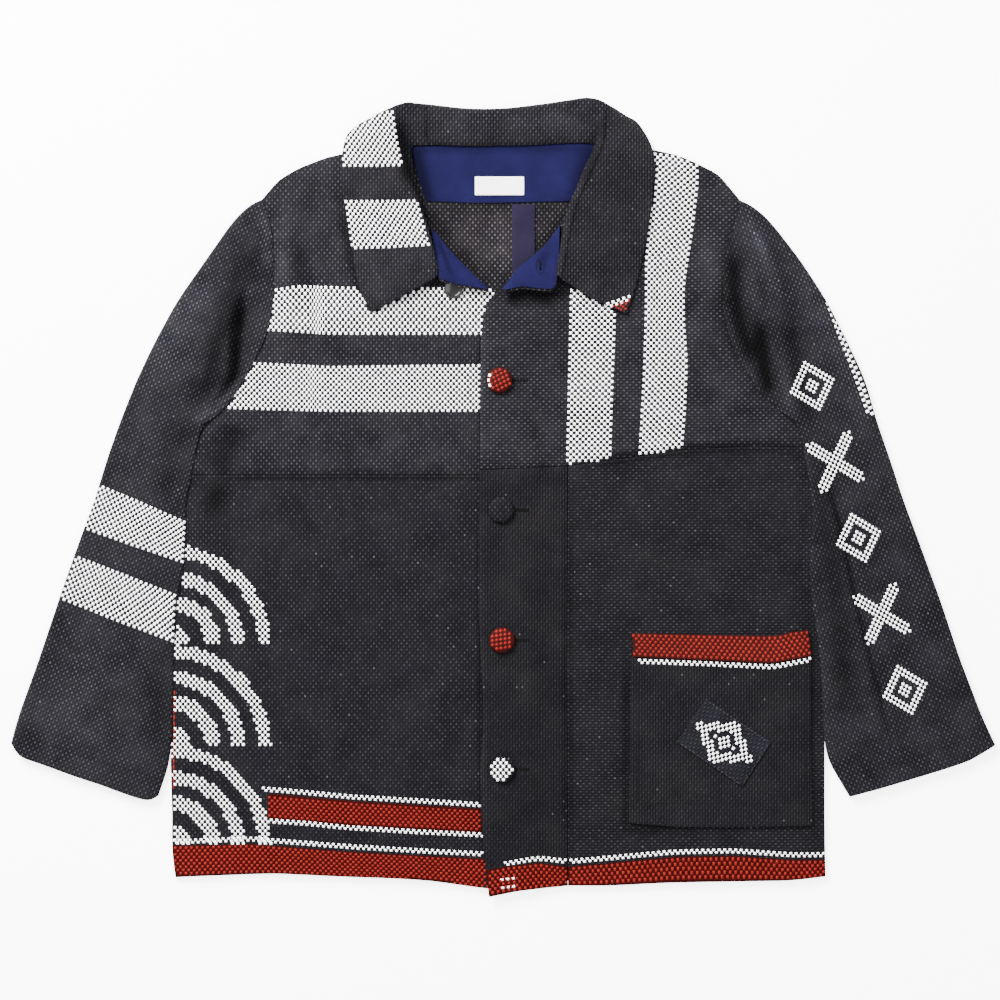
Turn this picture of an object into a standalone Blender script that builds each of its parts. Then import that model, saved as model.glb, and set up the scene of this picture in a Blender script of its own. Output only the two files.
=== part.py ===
"""Sashiko jacket laid flat, seen from above with the collar towards +Y.

Plan points are millimetres on a laying board: right along the board, down from its top edge.
Heights are millimetres above the surface that the jacket lies on. Left and right in names
are the wearer's, so the wearer's right lies on the low side of the board.
"""

import math

import bmesh
import bpy
from mathutils import Vector

MM = 0.001
BOARD_MIDDLE = (503.25, 497.9)  # the laid jacket's middle on the board

WALL = 2.2  # cloth of the body and sleeves
COLLAR_WALL = 2.4  # two plies, pressed
FACING_WALL = 1.2
CORNER_WALL = 1.6
PATCH_WALL = 1.2
LABEL_WALL = 0.6
TAPE_WALL = 1.0
GAP = 0.3  # between pieces, at seams and where one lies on another
SEAM = GAP / 2  # what each side of a seam gives up
SLEEVE_CLEAR = 1.4  # between a sleeve and the body's curved edges
CAP_SHARE = 0.4  # of the sleeve's outer edge, down to where it is level with the underarm
UNDERARM_SHARE = 0.08  # of its inner edge, for the same rows
UNDERARM_CLEAR = 3.5
UNDERARM_END = 455.0  # down to here the sleeve's inner edge stands off the side seam
UNDERARM_LIFT, UNDERARM_REACH = 0.9, 34.0  # the gathered underarm stays just off the surface
LYING = 0.6  # under a piece that lies on the rounded cloth of another

LAID = 7.8  # top of the front over the back
HEM_LAID = 6.4  # the same near the hem
SIDE_LAID = 2 * WALL + GAP  # where front and back meet at the side seams
LEAST_OVER_BACK = WALL + GAP + 0.2
SIDE_REACH = 18.0  # how far the front rolls down to the side seam
NECK_LIFT = 2.9  # the back lies on the folded-under collar

LAP_EDGE = 520.0  # the right front's edge, under the left front
LAP_END = 524.0
LAP_REACH = 24.0

BUTTON_RADIUS = 13.0
BUTTON_HEIGHT = 6.0
TOP_BUTTON_RADIUS = 9.5

# Plan outlines, each a list of (right, down)
ARMHOLE_RIGHT = [
    (260, 201), (270, 223), (272, 243), (273, 284), (270, 317),
    (265, 335), (252, 363), (239, 386), (224, 409), (198, 427),
]
ARMHOLE_LEFT = [
    (743, 203), (734, 231), (727, 247), (723, 271), (723, 299), (727, 324),
    (737, 353), (751, 378), (766, 399), (780, 409), (801, 424),
]
SIDE_RIGHT = [
    (198, 427), (196, 448), (191, 475), (184, 500), (185, 530), (184, 564),
    (175, 600), (173, 640), (172, 700), (170, 760), (172, 820), (171, 850), (175, 878),
]
SIDE_LEFT = [
    (801, 424), (804, 447), (809, 470), (815, 515), (810, 576), (816, 618),
    (822, 660), (825, 717), (825, 820), (826, 877),
]
SHOULDER_RIGHT = [(260, 201), (278, 180), (298, 168), (326, 157), (345, 153), (378, 148), (408, 144)]
SHOULDER_LEFT = [(598, 142), (628, 146), (652, 149), (679, 155), (699, 164), (719, 174), (743, 203)]
BACK_NECK = [(408, 144), (440, 146), (500, 148), (560, 145), (598, 142)]
NECKLINE_RIGHT = [
    (408, 144), (414, 172), (425, 220), (435, 231), (445, 244), (458, 258), (477, 277), (494, 292),
]
NECKLINE_LEFT = [(598, 142), (585, 166), (562, 223), (544, 245), (530, 257), (518, 266), (507, 281), (495, 293)]
LAP_RIGHT = [(494, 292), (506, 308), (516, 332), (LAP_EDGE, 365), (LAP_EDGE, 475)]
LAP_RIGHT_LOWER = [(LAP_EDGE, 475), (LAP_EDGE, 680), (LAP_EDGE, 890)]
PLACKET_UPPER = [(495, 293), (484, 312), (481, 340), (480, 400), (479.5, 470)]
PLACKET_LOWER = [
    (479.5, 470), (478, 600), (481, 659), (484, 719), (480, 768), (481, 817), (485, 863), (489, 897),
]
YOKE_RIGHT = [(191, 475), (300, 475), (LAP_EDGE, 475)]
YOKE_LEFT = [(479.5, 470), (568, 466), (689, 449), (755, 446), (804, 447)]
CENTRE_SEAM = [(568, 466), (567, 640), (568, 886)]
HEM_RIGHT = [(175, 878), (220, 874), (280, 874), (340, 877), (400, 879), (430, 881), (485, 889), (LAP_EDGE, 890)]
HEM_CENTRE = [(489, 897), (519, 891), (568, 886)]
HEM_SIDE = [(568, 886), (610, 886), (670, 883), (730, 882), (790, 881), (826, 877)]
HEM_BACK = [(175, 878), (280, 874), (400, 877), (500, 882), (670, 881), (790, 880), (826, 877)]

SLEEVE_RIGHT_OUTER = [
    (257, 199.5), (251, 201), (233, 220), (205, 260), (177, 300), (155, 340), (136, 380), (120, 420),
    (106, 460), (94, 500), (79, 540), (58, 600), (38, 660), (17, 718), (10.5, 743),
]
SLEEVE_RIGHT_CUFF = [(10.5, 743), (19, 757), (40, 764), (70, 775), (100, 785), (130, 796), (150, 802), (158, 796)]
SLEEVE_RIGHT_TAIL = [(168, 767), (158, 796)]  # where the sleeve leaves the side of the body
SLEEVE_LEFT_OUTER = [
    (746.5, 201.5), (752, 203), (770, 220), (801, 260), (827, 300), (847, 340), (866, 380), (877, 420),
    (891, 460), (904, 500), (919, 540), (941, 600), (961, 660), (984, 720), (996, 745),
]
SLEEVE_LEFT_CUFF = [(996, 745), (970, 761), (940, 771), (910, 780), (880, 789), (850, 797)]
SLEEVE_LEFT_TAIL = [(829, 762), (850, 797)]

# Folds: the route of each crest or trough, its rise (a trough is below 0) and its half width
SLEEVE_RIGHT_FOLDS = [
    dict(route=[(256, 212), (257, 240), (253, 268), (240, 294), (228, 320), (227, 345), (228, 385), (200, 420)],
         rise=6.5, reach=10),
    dict(route=[(232, 262), (218, 300), (206, 345), (192, 392)], rise=3.6, reach=15),
    dict(route=[(208, 236), (186, 290), (160, 350)], rise=2.2, reach=16),
    dict(route=[(170, 470), (140, 560), (112, 650)], rise=1.8, reach=16),
    dict(route=[(128, 470), (98, 560), (74, 650)], rise=-1.4, reach=14),
]
SLEEVE_LEFT_FOLDS = [
    dict(route=[(746, 212), (760, 238), (767, 262), (778, 284)], rise=6.0, reach=9),
    dict(route=[(742, 262), (740, 300), (748, 340), (762, 374)], rise=4.5, reach=9),
    dict(route=[(753, 300), (757, 340), (768, 380), (782, 400)], rise=-3.0, reach=7),
    dict(route=[(770, 300), (776, 345), (790, 392), (806, 430)], rise=5.0, reach=11),
    dict(route=[(812, 330), (832, 400), (850, 480), (868, 560)], rise=2.4, reach=15),
    dict(route=[(838, 560), (858, 640), (886, 720)], rise=2.2, reach=13),
    dict(route=[(925, 600), (940, 660), (955, 715)], rise=1.6, reach=14),
]
FRONT_RIGHT_FOLDS = [
    dict(route=[(206, 425), (216, 450), (210, 505)], rise=3.0, reach=10),
    dict(route=[(286, 240), (292, 300), (284, 350)], rise=2.0, reach=10),
    dict(route=[(330, 520), (322, 640), (330, 760)], rise=1.5, reach=24),
    dict(route=[(430, 500), (438, 620), (430, 780)], rise=1.2, reach=22),
]
FRONT_LEFT_FOLDS = [
    dict(route=[(712, 215), (706, 262), (709, 316), (722, 352)], rise=3.0, reach=10),
    dict(route=[(790, 436), (800, 480), (803, 530)], rise=2.2, reach=10),
    dict(route=[(640, 480), (648, 560), (640, 620)], rise=1.4, reach=22),
    dict(route=[(742, 480), (750, 560), (744, 610)], rise=1.4, reach=20),
]

# Collar, a row for each section from the right front end round the back to the left front end.
# edge is the free edge, bend the middle of the fall, roll the crest, seam the foot of the stand.
COLLAR = [
    dict(edge=(372, 312, 9.4), bend=(404, 296, 13.5), roll=(437, 276, 18.5), seam=(438, 274, 11.0)),
    dict(edge=(360, 290, 9.4), bend=(396, 273, 14.5), roll=(433, 254, 19.5), seam=(433, 252, 11.0)),
    dict(edge=(352, 248, 9.4), bend=(388, 240, 15.0), roll=(427, 230, 20.0), seam=(426, 226, 11.0)),
    dict(edge=(344, 202, 9.4), bend=(379, 202, 15.0), roll=(415, 199, 20.5), seam=(421, 203, 11.0)),
    dict(edge=(341, 176, 9.2), bend=(372, 174, 15.0), roll=(404, 168, 20.5), seam=(414, 176, 11.0)),
    dict(edge=(343, 151, 8.6), bend=(369, 146, 15.0), roll=(397, 141, 20.0), seam=(411, 157, 10.4)),
    dict(edge=(350, 132, 5.0), bend=(370, 125, 12.5), roll=(394, 121, 19.0), seam=(413, 148, 7.2)),
    dict(edge=(374, 121, 1.3), bend=(379, 114, 7.0), roll=(397, 111, 17.5), seam=(424, 148, 6.7)),
    dict(edge=(404, 150, 1.3), bend=(396, 112, 2.0), roll=(408, 105, 16.0), seam=(440, 149, 6.7)),
    dict(edge=(436, 170, 1.3), bend=(428, 111, 1.3), roll=(428, 106, 15.0), seam=(456, 150, 6.7)),
    dict(edge=(470, 176, 1.3), bend=(466, 114, 1.3), roll=(466, 110, 14.5), seam=(478, 151, 6.7)),
    dict(edge=(502, 178, 1.3), bend=(502, 114, 1.3), roll=(502, 110, 14.5), seam=(502, 151, 6.7)),
    dict(edge=(536, 175, 1.3), bend=(540, 110, 1.3), roll=(540, 106, 14.5), seam=(528, 150, 6.7)),
    dict(edge=(568, 168, 1.3), bend=(570, 107, 1.3), roll=(568, 102, 15.0), seam=(550, 149, 6.7)),
    dict(edge=(598, 148, 1.3), bend=(604, 109, 2.0), roll=(587, 100, 16.0), seam=(568, 148, 6.7)),
    dict(edge=(628, 119, 1.3), bend=(619, 112, 7.0), roll=(601, 106, 17.5), seam=(583, 147, 6.7)),
    dict(edge=(645, 134, 5.0), bend=(624, 126, 12.5), roll=(602, 121, 19.0), seam=(590, 149, 7.2)),
    dict(edge=(654, 158, 9.4), bend=(626, 151, 15.0), roll=(599, 144, 20.0), seam=(586, 161, 10.4)),
    dict(edge=(653, 188, 9.8), bend=(621, 179, 15.0), roll=(588, 170, 20.5), seam=(577, 181, 11.0)),
    dict(edge=(650, 218, 9.4), bend=(611, 208, 15.0), roll=(572, 206, 20.5), seam=(567, 206, 11.0)),
    dict(edge=(644, 250, 9.4), bend=(604, 243, 15.0), roll=(565, 236, 20.0), seam=(563, 232, 11.0)),
    dict(edge=(636, 284, 9.4), bend=(598, 273, 14.5), roll=(561, 259, 19.5), seam=(560, 256, 11.0)),
    dict(edge=(626, 314, 9.4), bend=(590, 298, 13.5), roll=(558, 276, 18.5), seam=(557, 273, 11.0)),
]
ROLL_WIDTH = 4.0

# Turned corners of the fronts: fold line, side along the collar, and free lower edge
CORNER_RIGHT = dict(
    fold=[(431, 228), (438, 235), (446, 246), (459, 260), (477, 278), (488, 288)],
    free=[(442.5, 272), (444, 279), (454, 280), (472, 283), (484, 289)],
    fold_height=LYING, free_height=6.2,
)
CORNER_LEFT = dict(
    fold=[(559.5, 226), (545, 246), (531, 258), (519, 267), (508, 282), (503, 288)],
    free=[(556, 256), (556, 279), (554, 289), (535, 289), (521, 288), (507, 291)],
    fold_height=LYING, free_height=6.0,
)

POCKET = dict(left=[(631, 657.5), (630, 740), (629, 823)], right=[(811, 664.5), (811, 740), (812, 826)],
              top=[(631, 657.5), (700, 661), (772, 665.5), (811, 664.5)],
              bottom=[(629, 823), (676, 827), (750, 827), (812, 826)])
POCKET_BAND = dict(left=[(632, 633), (633, 645), (633, 657)], right=[(808, 630), (810, 648), (811, 664)],
                   top=[(632, 633), (705, 634), (763, 636), (808, 630)],
                   bottom=[(633, 657), (700, 660.5), (772, 665), (811, 664)])
PATCH_CORNERS = [(706, 698), (771, 742), (742, 787), (676, 742)]
NECK_FACING = dict(left=[(418, 153), (423, 178), (429, 201)], right=[(581, 152), (573, 178), (566, 201)],
                   top=[(418, 153), (479, 154), (540, 153), (581, 152)],
                   bottom=[(429, 201), (479, 203), (530, 202), (566, 201)])
LABEL_CORNERS = [(475, 176.5), (524, 176.5), (524, 195), (475, 195)]
TAPE_MIDDLE, TAPE_WIDTH, TAPE_TOP, TAPE_BOTTOM = 523.5, 23.0, 204.0, 872.0

BUTTONS = [("button_1", 499.5, 380.5), ("button_2", 501, 510), ("button_3", 502, 640), ("button_4", 502, 769)]
TOP_BUTTON = (453.5, 289.0)

COLOURS = {
    "charcoal": ((0.045, 0.045, 0.055), 0.9),
    "blue": ((0.02, 0.035, 0.16), 0.8),
    "tape": ((0.06, 0.045, 0.075), 0.85),
    "label": ((0.85, 0.85, 0.83), 0.8),
    "red": ((0.5, 0.03, 0.02), 0.9),
    "white": ((0.75, 0.75, 0.73), 0.9),
    "dark_gloss": ((0.03, 0.022, 0.02), 0.2),
}


def clear_scene():
    for old in list(bpy.data.objects):
        bpy.data.objects.remove(old, do_unlink=True)


def spot(right, down, up):
    """A board point as a point in the part's own frame, in metres."""
    return Vector((right - BOARD_MIDDLE[0], BOARD_MIDDLE[1] - down, up)) * MM


def smooth(value):
    """0 at or below 0, 1 at or above 1, with a soft start and end."""
    value = min(max(value, 0.0), 1.0)
    return value * value * (3 - 2 * value)


def between(start, end, share):
    return tuple(a + (b - a) * share for a, b in zip(start, end))


def along(points, share):
    """The point at this share of the length of a polyline."""
    points = [tuple(map(float, p)) for p in points]
    lengths = [math.dist(a, b) for a, b in zip(points, points[1:])]
    left = share * sum(lengths)
    for start, end, length in zip(points, points[1:], lengths):
        if left <= length:
            return between(start, end, left / length)
        left -= length
    return points[-1]


def eased(points, fine=80, rounds=12):
    """The polyline through many points, its bends eased by averaging neighbours."""
    found = [along(points, k / fine) for k in range(fine + 1)]
    for _ in range(rounds):
        middle = [
            tuple((a + 2 * b + c) / 4 for a, b, c in zip(before, here, after))
            for before, here, after in zip(found, found[1:], found[2:])
        ]
        found = [found[0], *middle, found[-1]]
    return found


def stretched(*stretches):
    """Points along an edge made of stretches, each (its points, its number of steps)."""
    found = []
    for points, steps in stretches:
        line = eased(points)
        found = found[:-1] + [along(line, k / steps) for k in range(steps + 1)]
    return found


def aside(points, offset):
    """The polyline moved to its left by offset, as seen on the board."""
    moved = []
    for k, here in enumerate(points):
        before, after = points[max(k - 1, 0)], points[min(k + 1, len(points) - 1)]
        length = math.dist(before, after)
        along_right, along_down = (after[0] - before[0]) / length, (after[1] - before[1]) / length
        moved.append((here[0] + along_down * offset, here[1] - along_right * offset))
    return moved


def distance_along(route, right, down):
    """(distance to the route, share of its length where it is nearest)."""
    lengths = [math.dist(a, b) for a, b in zip(route, route[1:])]
    best, where, passed = 1e9, 0.0, 0.0
    for start, end, length in zip(route, route[1:], lengths):
        share = ((right - start[0]) * (end[0] - start[0]) + (down - start[1]) * (end[1] - start[1])) / length**2
        share = min(max(share, 0.0), 1.0)
        gap = math.dist((right, down), between(start, end, share))
        if gap < best:
            best, where = gap, (passed + share * length) / sum(lengths)
        passed += length
    return best, where


def folds_at(folds, right, down):
    """How far the folds raise or sink the cloth here."""
    rise = 0.0
    for fold in folds:
        gap, where = distance_along(fold["route"], right, down)
        if gap < 3 * fold["reach"]:
            fade = smooth(where / 0.2) * smooth((1 - where) / 0.2)
            rise += fold["rise"] * math.exp(-((gap / fold["reach"]) ** 2)) * (0.25 + 0.75 * fade)
    return rise


def front_laid(right, down):
    """Top of a front before its folds: high in the middle, lower at the hem and side seams."""
    height = LAID - (LAID - HEM_LAID) * smooth((down - 780) / 90)
    side = SIDE_RIGHT if right < BOARD_MIDDLE[0] else SIDE_LEFT
    gap, _ = distance_along(side, right, down)
    shoulder = SHOULDER_RIGHT if right < BOARD_MIDDLE[0] else SHOULDER_LEFT
    shoulder_gap, _ = distance_along(shoulder, right, down)
    nearest = smooth(gap / SIDE_REACH) * smooth(0.35 + shoulder_gap / SIDE_REACH)
    lowest = back_top(right, down) + LEAST_OVER_BACK
    return max(SIDE_LAID + (height - SIDE_LAID) * nearest, lowest)


def front_right_top(right, down):
    settled = smooth((LAP_EDGE - 28 - right) / 30)  # flat where the other front laps over
    return front_laid(right, down) + folds_at(FRONT_RIGHT_FOLDS, right, down) * settled


def front_left_top(right, down):
    lap = 1 - smooth((right - LAP_END) / LAP_REACH)
    return front_laid(right, down) + (WALL + GAP) * lap + folds_at(FRONT_LEFT_FOLDS, right, down)


def back_top(right, down):
    inside = smooth((right - 356) / 26) * smooth((650 - right) / 26)
    return WALL + NECK_LIFT * inside * smooth((226 - down) / 34)


def patch_grid(left, right, top, bottom):
    """Board points over a four-sided piece, from the points of its four edges."""
    rows, columns = len(left) - 1, len(top) - 1
    left, right = list(left), list(right)
    left[0], left[-1], right[0], right[-1] = top[0], bottom[0], top[-1], bottom[-1]
    grid = []
    for j in range(rows + 1):
        v = j / rows
        line = []
        for i in range(columns + 1):
            u = i / columns
            ruled = [
                (1 - v) * t + v * b + (1 - u) * a + u * c
                for t, b, a, c in zip(top[i], bottom[i], left[j], right[j])
            ]
            corners = [
                (1 - v) * ((1 - u) * p + u * q) + v * ((1 - u) * r + u * s)
                for p, q, r, s in zip(top[0], top[-1], bottom[0], bottom[-1])
            ]
            line.append((ruled[0] - corners[0], ruled[1] - corners[1]))
        grid.append(line)
    return grid


def material(name):
    found = bpy.data.materials.get(name)
    if found:
        return found
    colour, roughness = COLOURS[name]
    found = bpy.data.materials.new(name)
    found.use_nodes = True
    shader = found.node_tree.nodes["Principled BSDF"]
    shader.inputs["Base Color"].default_value = (*colour, 1)
    shader.inputs["Roughness"].default_value = roughness
    found.diffuse_color = (*colour, 1)
    return found


def finish(name, mesh, colour, collection):
    mesh.materials.append(material(colour))
    piece = bpy.data.objects.new(name, mesh)
    collection.objects.link(piece)
    return piece


def surface(name, lines, colour, collection, closed=False, drop=0.0):
    """An open sheet through lines of points, its faces looking up. closed joins each line end to end.

    drop extrudes the sheet straight down by a wall, so that seams between panels stay even.
    """
    bm = bmesh.new()
    rows = [[bm.verts.new(point) for point in line] for line in lines]
    for upper, lower in zip(rows, rows[1:]):
        count = len(upper) if closed else len(upper) - 1
        for i in range(count):
            after = (i + 1) % len(upper)
            bm.faces.new((upper[i], lower[i], lower[after], upper[after]))
    if drop:
        extruded = bmesh.ops.extrude_face_region(bm, geom=bm.faces[:], use_keep_orig=True)["geom"]
        under = [part for part in extruded if isinstance(part, bmesh.types.BMVert)]
        bmesh.ops.translate(bm, verts=under, vec=(0, 0, -drop * MM))
        bmesh.ops.recalc_face_normals(bm, faces=bm.faces[:])
    mesh = bpy.data.meshes.new(name)
    bm.to_mesh(mesh)
    bm.free()
    mesh.shade_smooth()
    return finish(name, mesh, colour, collection)


def thicken(piece, wall, offset=-1.0):
    """Gives the sheet its wall: below it for -1, to both sides for 0."""
    shell = piece.modifiers.new("Wall", "SOLIDIFY")
    shell.thickness = wall * MM
    shell.offset = offset
    shell.use_quality_normals = True
    return piece


def panel(name, colour, collection, edges, top_height, wall=WALL):
    grid = patch_grid(**edges)
    lines = [[spot(r, d, top_height(r, d)) for r, d in line] for line in grid]
    return surface(name, lines, colour, collection, drop=wall)


def add_back(collection):
    edges = dict(
        left=stretched((aside(ARMHOLE_RIGHT, SEAM), 11), (SIDE_RIGHT, 12)),
        right=stretched((aside(ARMHOLE_LEFT, -SEAM), 11), (SIDE_LEFT, 12)),
        top=stretched((SHOULDER_RIGHT, 6), (BACK_NECK, 6), (SHOULDER_LEFT, 6)),
        bottom=stretched((HEM_BACK, 18)),
    )
    panel("back_panel", "charcoal", collection, edges, back_top)


def lowered(points, offset):
    return [(right, down + offset) for right, down in points]


def add_right_front(collection):
    across, upper, lower = 14, 3, 15
    yoke = SIDE_RIGHT.index((191, 475))
    edges = dict(
        left=stretched((aside(ARMHOLE_RIGHT, SEAM), 11), (SIDE_RIGHT[: yoke + 1], upper)),
        right=stretched((NECKLINE_RIGHT, 7), (LAP_RIGHT, 7)),
        top=stretched((SHOULDER_RIGHT, across)),
        bottom=stretched((lowered(YOKE_RIGHT, -SEAM), across)),
    )
    panel("front_right_upper", "charcoal", collection, edges, front_right_top)
    edges = dict(
        left=stretched((SIDE_RIGHT[yoke:], lower)),
        right=stretched((LAP_RIGHT_LOWER, lower)),
        top=stretched((lowered(YOKE_RIGHT, SEAM), across)),
        bottom=stretched((HEM_RIGHT, across)),
    )
    panel("front_right_lower", "charcoal", collection, edges, front_right_top)


def add_left_front(collection):
    centre, side, upper, lower = 5, 11, 3, 16
    middle = YOKE_LEFT.index((568, 466))
    seam, seam_down = YOKE_LEFT[middle]
    yoke_centre = [*YOKE_LEFT[:middle], (seam - SEAM, seam_down)]
    yoke_side = [(seam + SEAM, seam_down), *YOKE_LEFT[middle + 1 :]]
    edges = dict(
        left=stretched((NECKLINE_LEFT, 7), (PLACKET_UPPER, 7)),
        right=stretched((aside(ARMHOLE_LEFT, -SEAM), 11), (SIDE_LEFT[:2], upper)),
        top=stretched((SHOULDER_LEFT, centre + side)),
        bottom=stretched((lowered(yoke_centre, -SEAM), centre), (lowered(yoke_side, -SEAM), side)),
    )
    panel("front_left_upper", "charcoal", collection, edges, front_left_top)
    edges = dict(
        left=stretched((PLACKET_LOWER, lower)),
        right=stretched((aside(CENTRE_SEAM, -SEAM), lower)),
        top=stretched((lowered(yoke_centre, SEAM), centre)),
        bottom=stretched((HEM_CENTRE, centre)),
    )
    panel("front_left_centre", "charcoal", collection, edges, front_left_top)
    edges = dict(
        left=stretched((aside(CENTRE_SEAM, SEAM), lower)),
        right=stretched((SIDE_LEFT[1:], lower)),
        top=stretched((lowered(yoke_side, SEAM), side)),
        bottom=stretched((HEM_SIDE, side)),
    )
    panel("front_left_side", "charcoal", collection, edges, front_left_top)


def sleeve_grid(outer, inner, armhole, cuff, rows, columns):
    """Rows from armhole to cuff. Those of the sleeve's cap fan out from the underarm."""
    outer, inner = eased(outer, rounds=3), eased(inner)
    armhole, cuff = stretched((armhole, columns)), stretched((cuff, columns))
    grid = []
    for j in range(rows + 1):
        v = j / rows
        if v < CAP_SHARE:
            inner_share = UNDERARM_SHARE * v / CAP_SHARE
        else:
            inner_share = UNDERARM_SHARE + (1 - UNDERARM_SHARE) * (v - CAP_SHARE) / (1 - CAP_SHARE)
        start, end = along(outer, v), along(inner, inner_share)
        bulge = max(1 - v / CAP_SHARE, 0) ** 3
        hem = max((v - 0.8) / 0.2, 0) ** 2
        line = []
        for i in range(columns + 1):
            u = i / columns
            point = between(start, end, u)
            for curved, weight in ((armhole, bulge), (cuff, hem)):
                straight = between(curved[0], curved[-1], u)
                point = tuple(p + weight * (c - s) for p, c, s in zip(point, curved[i], straight))
            line.append(point)
        grid.append(line)
    return grid


def sleeve_stations(width, radius, count):
    """Distances across a flattened tube: close together round each edge, even between."""
    rounded = [0.0, 0.3 * radius, radius]
    inner = [radius + (width - 2 * radius) * k / count for k in range(1, count)]
    return rounded + inner + [width - d for d in reversed(rounded)]


def add_sleeve(name, collection, armhole, outer, inner, cuff, folds, turned):
    across = 8
    grid = sleeve_grid(outer, inner, armhole, cuff, rows=17, columns=24)
    radius = LAID / 2
    line_ends = [line[-1] for line in grid]
    lines = []
    for line in grid:
        width = sum(math.dist(a, b) for a, b in zip(line, line[1:]))
        over, under = [], []
        for distance in sleeve_stations(width, radius, across):
            right, down = along(line, distance / width)
            edge = min(distance, width - distance) / radius
            full = math.sqrt(1 - (1 - min(edge, 1.0)) ** 2)
            height = LAID + folds_at(folds, right, down) * smooth(edge / 3)
            clear = UNDERARM_LIFT * smooth(1 - math.dist((right, down), line_ends[0]) / UNDERARM_REACH)
            over.append(spot(right, down, radius + (height - radius) * full))
            under.append(spot(right, down, radius - radius * full + clear))
        ring = over + under[-2:0:-1]
        lines.append(ring[::-1] if turned else ring)
    thicken(surface(name, lines, "charcoal", collection, closed=True), WALL)


def add_sleeves(collection):
    sides = [
        ("sleeve_right", SIDE_RIGHT, ARMHOLE_RIGHT, -1, SLEEVE_RIGHT_OUTER, SLEEVE_RIGHT_CUFF, SLEEVE_RIGHT_TAIL),
        ("sleeve_left", SIDE_LEFT, ARMHOLE_LEFT, 1, SLEEVE_LEFT_OUTER, SLEEVE_LEFT_CUFF, SLEEVE_LEFT_TAIL),
    ]
    folds = {"sleeve_right": SLEEVE_RIGHT_FOLDS, "sleeve_left": SLEEVE_LEFT_FOLDS}
    for name, side, armhole_line, way, outer, cuff, tail in sides:
        beside = aside(side, way * SLEEVE_CLEAR)
        underarm = (beside[0][0] + way * UNDERARM_CLEAR, beside[0][1] - UNDERARM_CLEAR / 2)
        inner = [underarm, *(p for p in beside if UNDERARM_END < p[1] < tail[0][1] - 25), *tail]
        armhole = [outer[0], *aside(armhole_line, way * SLEEVE_CLEAR)[1:-1], underarm]
        add_sleeve(name, collection, armhole, outer, inner, cuff, folds[name], turned=way > 0)


def collar_section(row):
    """Points from the free edge over the roll to the foot of the stand."""
    edge, bend, roll, seam = row["edge"], row["bend"], row["roll"], row["seam"]
    inward = Vector(seam[:2]) - Vector(roll[:2])
    outward = Vector(roll[:2]) - Vector(bend[:2])
    way = (outward.normalized() + inward.normalized() * 0.5).normalized()
    outer = (roll[0] - way.x * ROLL_WIDTH, roll[1] - way.y * ROLL_WIDTH, roll[2] - 1.2)
    inner = (roll[0] + way.x * 0.5, roll[1] + way.y * 0.5, roll[2] - 2.6)
    crest = (roll[0] - way.x * ROLL_WIDTH / 2, roll[1] - way.y * ROLL_WIDTH / 2, roll[2])
    points = [edge, between(edge, bend, 0.5), bend, between(bend, outer, 0.55), outer, crest, inner]
    points += [between(inner, seam, 0.5), seam]
    lowest = COLLAR_WALL / 2
    return [spot(right, down, max(up, lowest)) for right, down, up in points]


def add_collar(collection):
    sections = [collar_section(row) for row in COLLAR]
    thicken(surface("collar", sections, "charcoal", collection), COLLAR_WALL, 0.0)


def add_corner(side, corner, top_height, collection, flipped):
    """A turned-back corner of a front: its own cloth below and the blue facing on it."""
    columns, rows = 8, 4
    fold, free = stretched((corner["fold"], columns)), stretched((corner["free"], columns))
    layers = [("corner_", "charcoal", CORNER_WALL, 0.0), ("facing_", "blue", FACING_WALL, CORNER_WALL + GAP)]
    for prefix, colour, wall, above in layers:
        lines = []
        for j in range(rows + 1):
            share = j / rows
            lift = corner["fold_height"] + (corner["free_height"] - corner["fold_height"]) * math.sin(
                share * math.pi / 2
            )
            line = []
            for start, end in zip(fold, free):
                right, down = between(start, end, share)
                line.append(spot(right, down, top_height(right, down) + lift + above + wall))
            lines.append(line[::-1] if flipped else line)
        surface(prefix + side, lines, colour, collection, drop=wall)


def four_sided(corners):
    first, second, third, fourth = corners
    return dict(top=[first, second], bottom=[fourth, third], left=[first, fourth], right=[second, third])


def sized(edges, columns, rows):
    """The edges of a piece with that many steps across and down."""
    steps = dict(top=columns, bottom=columns, left=rows, right=rows)
    return {name: stretched((points, steps[name])) for name, points in edges.items()}


def on_pocket(right, down):
    return front_left_top(right, down) + LYING + WALL


def add_pocket(collection):
    panel("pocket", "charcoal", collection, sized(POCKET, 12, 8), on_pocket)
    panel("pocket_band", "red", collection, sized(POCKET_BAND, 12, 2), on_pocket)
    edges = sized(four_sided(PATCH_CORNERS), 6, 4)
    panel("patch", "charcoal", collection, edges, lambda r, d: on_pocket(r, d) + GAP + PATCH_WALL, PATCH_WALL)


def add_neck(collection):
    def facing_top(right, down):
        return back_top(right, down) + GAP + FACING_WALL

    panel("neck_facing", "blue", collection, sized(NECK_FACING, 10, 4), facing_top, FACING_WALL)
    edges = sized(four_sided(LABEL_CORNERS), 4, 2)
    label_top = GAP + LABEL_WALL
    panel("neck_label", "label", collection, edges, lambda r, d: facing_top(r, d) + label_top, LABEL_WALL)
    low, high = TAPE_MIDDLE - TAPE_WIDTH / 2, TAPE_MIDDLE + TAPE_WIDTH / 2
    corners = [(low, TAPE_TOP), (high, TAPE_TOP), (high, TAPE_BOTTOM), (low, TAPE_BOTTOM)]
    edges = sized(four_sided(corners), 2, 24)
    panel("back_tape", "tape", collection, edges, lambda r, d: back_top(r, d) + LYING + TAPE_WALL, TAPE_WALL)


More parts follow.
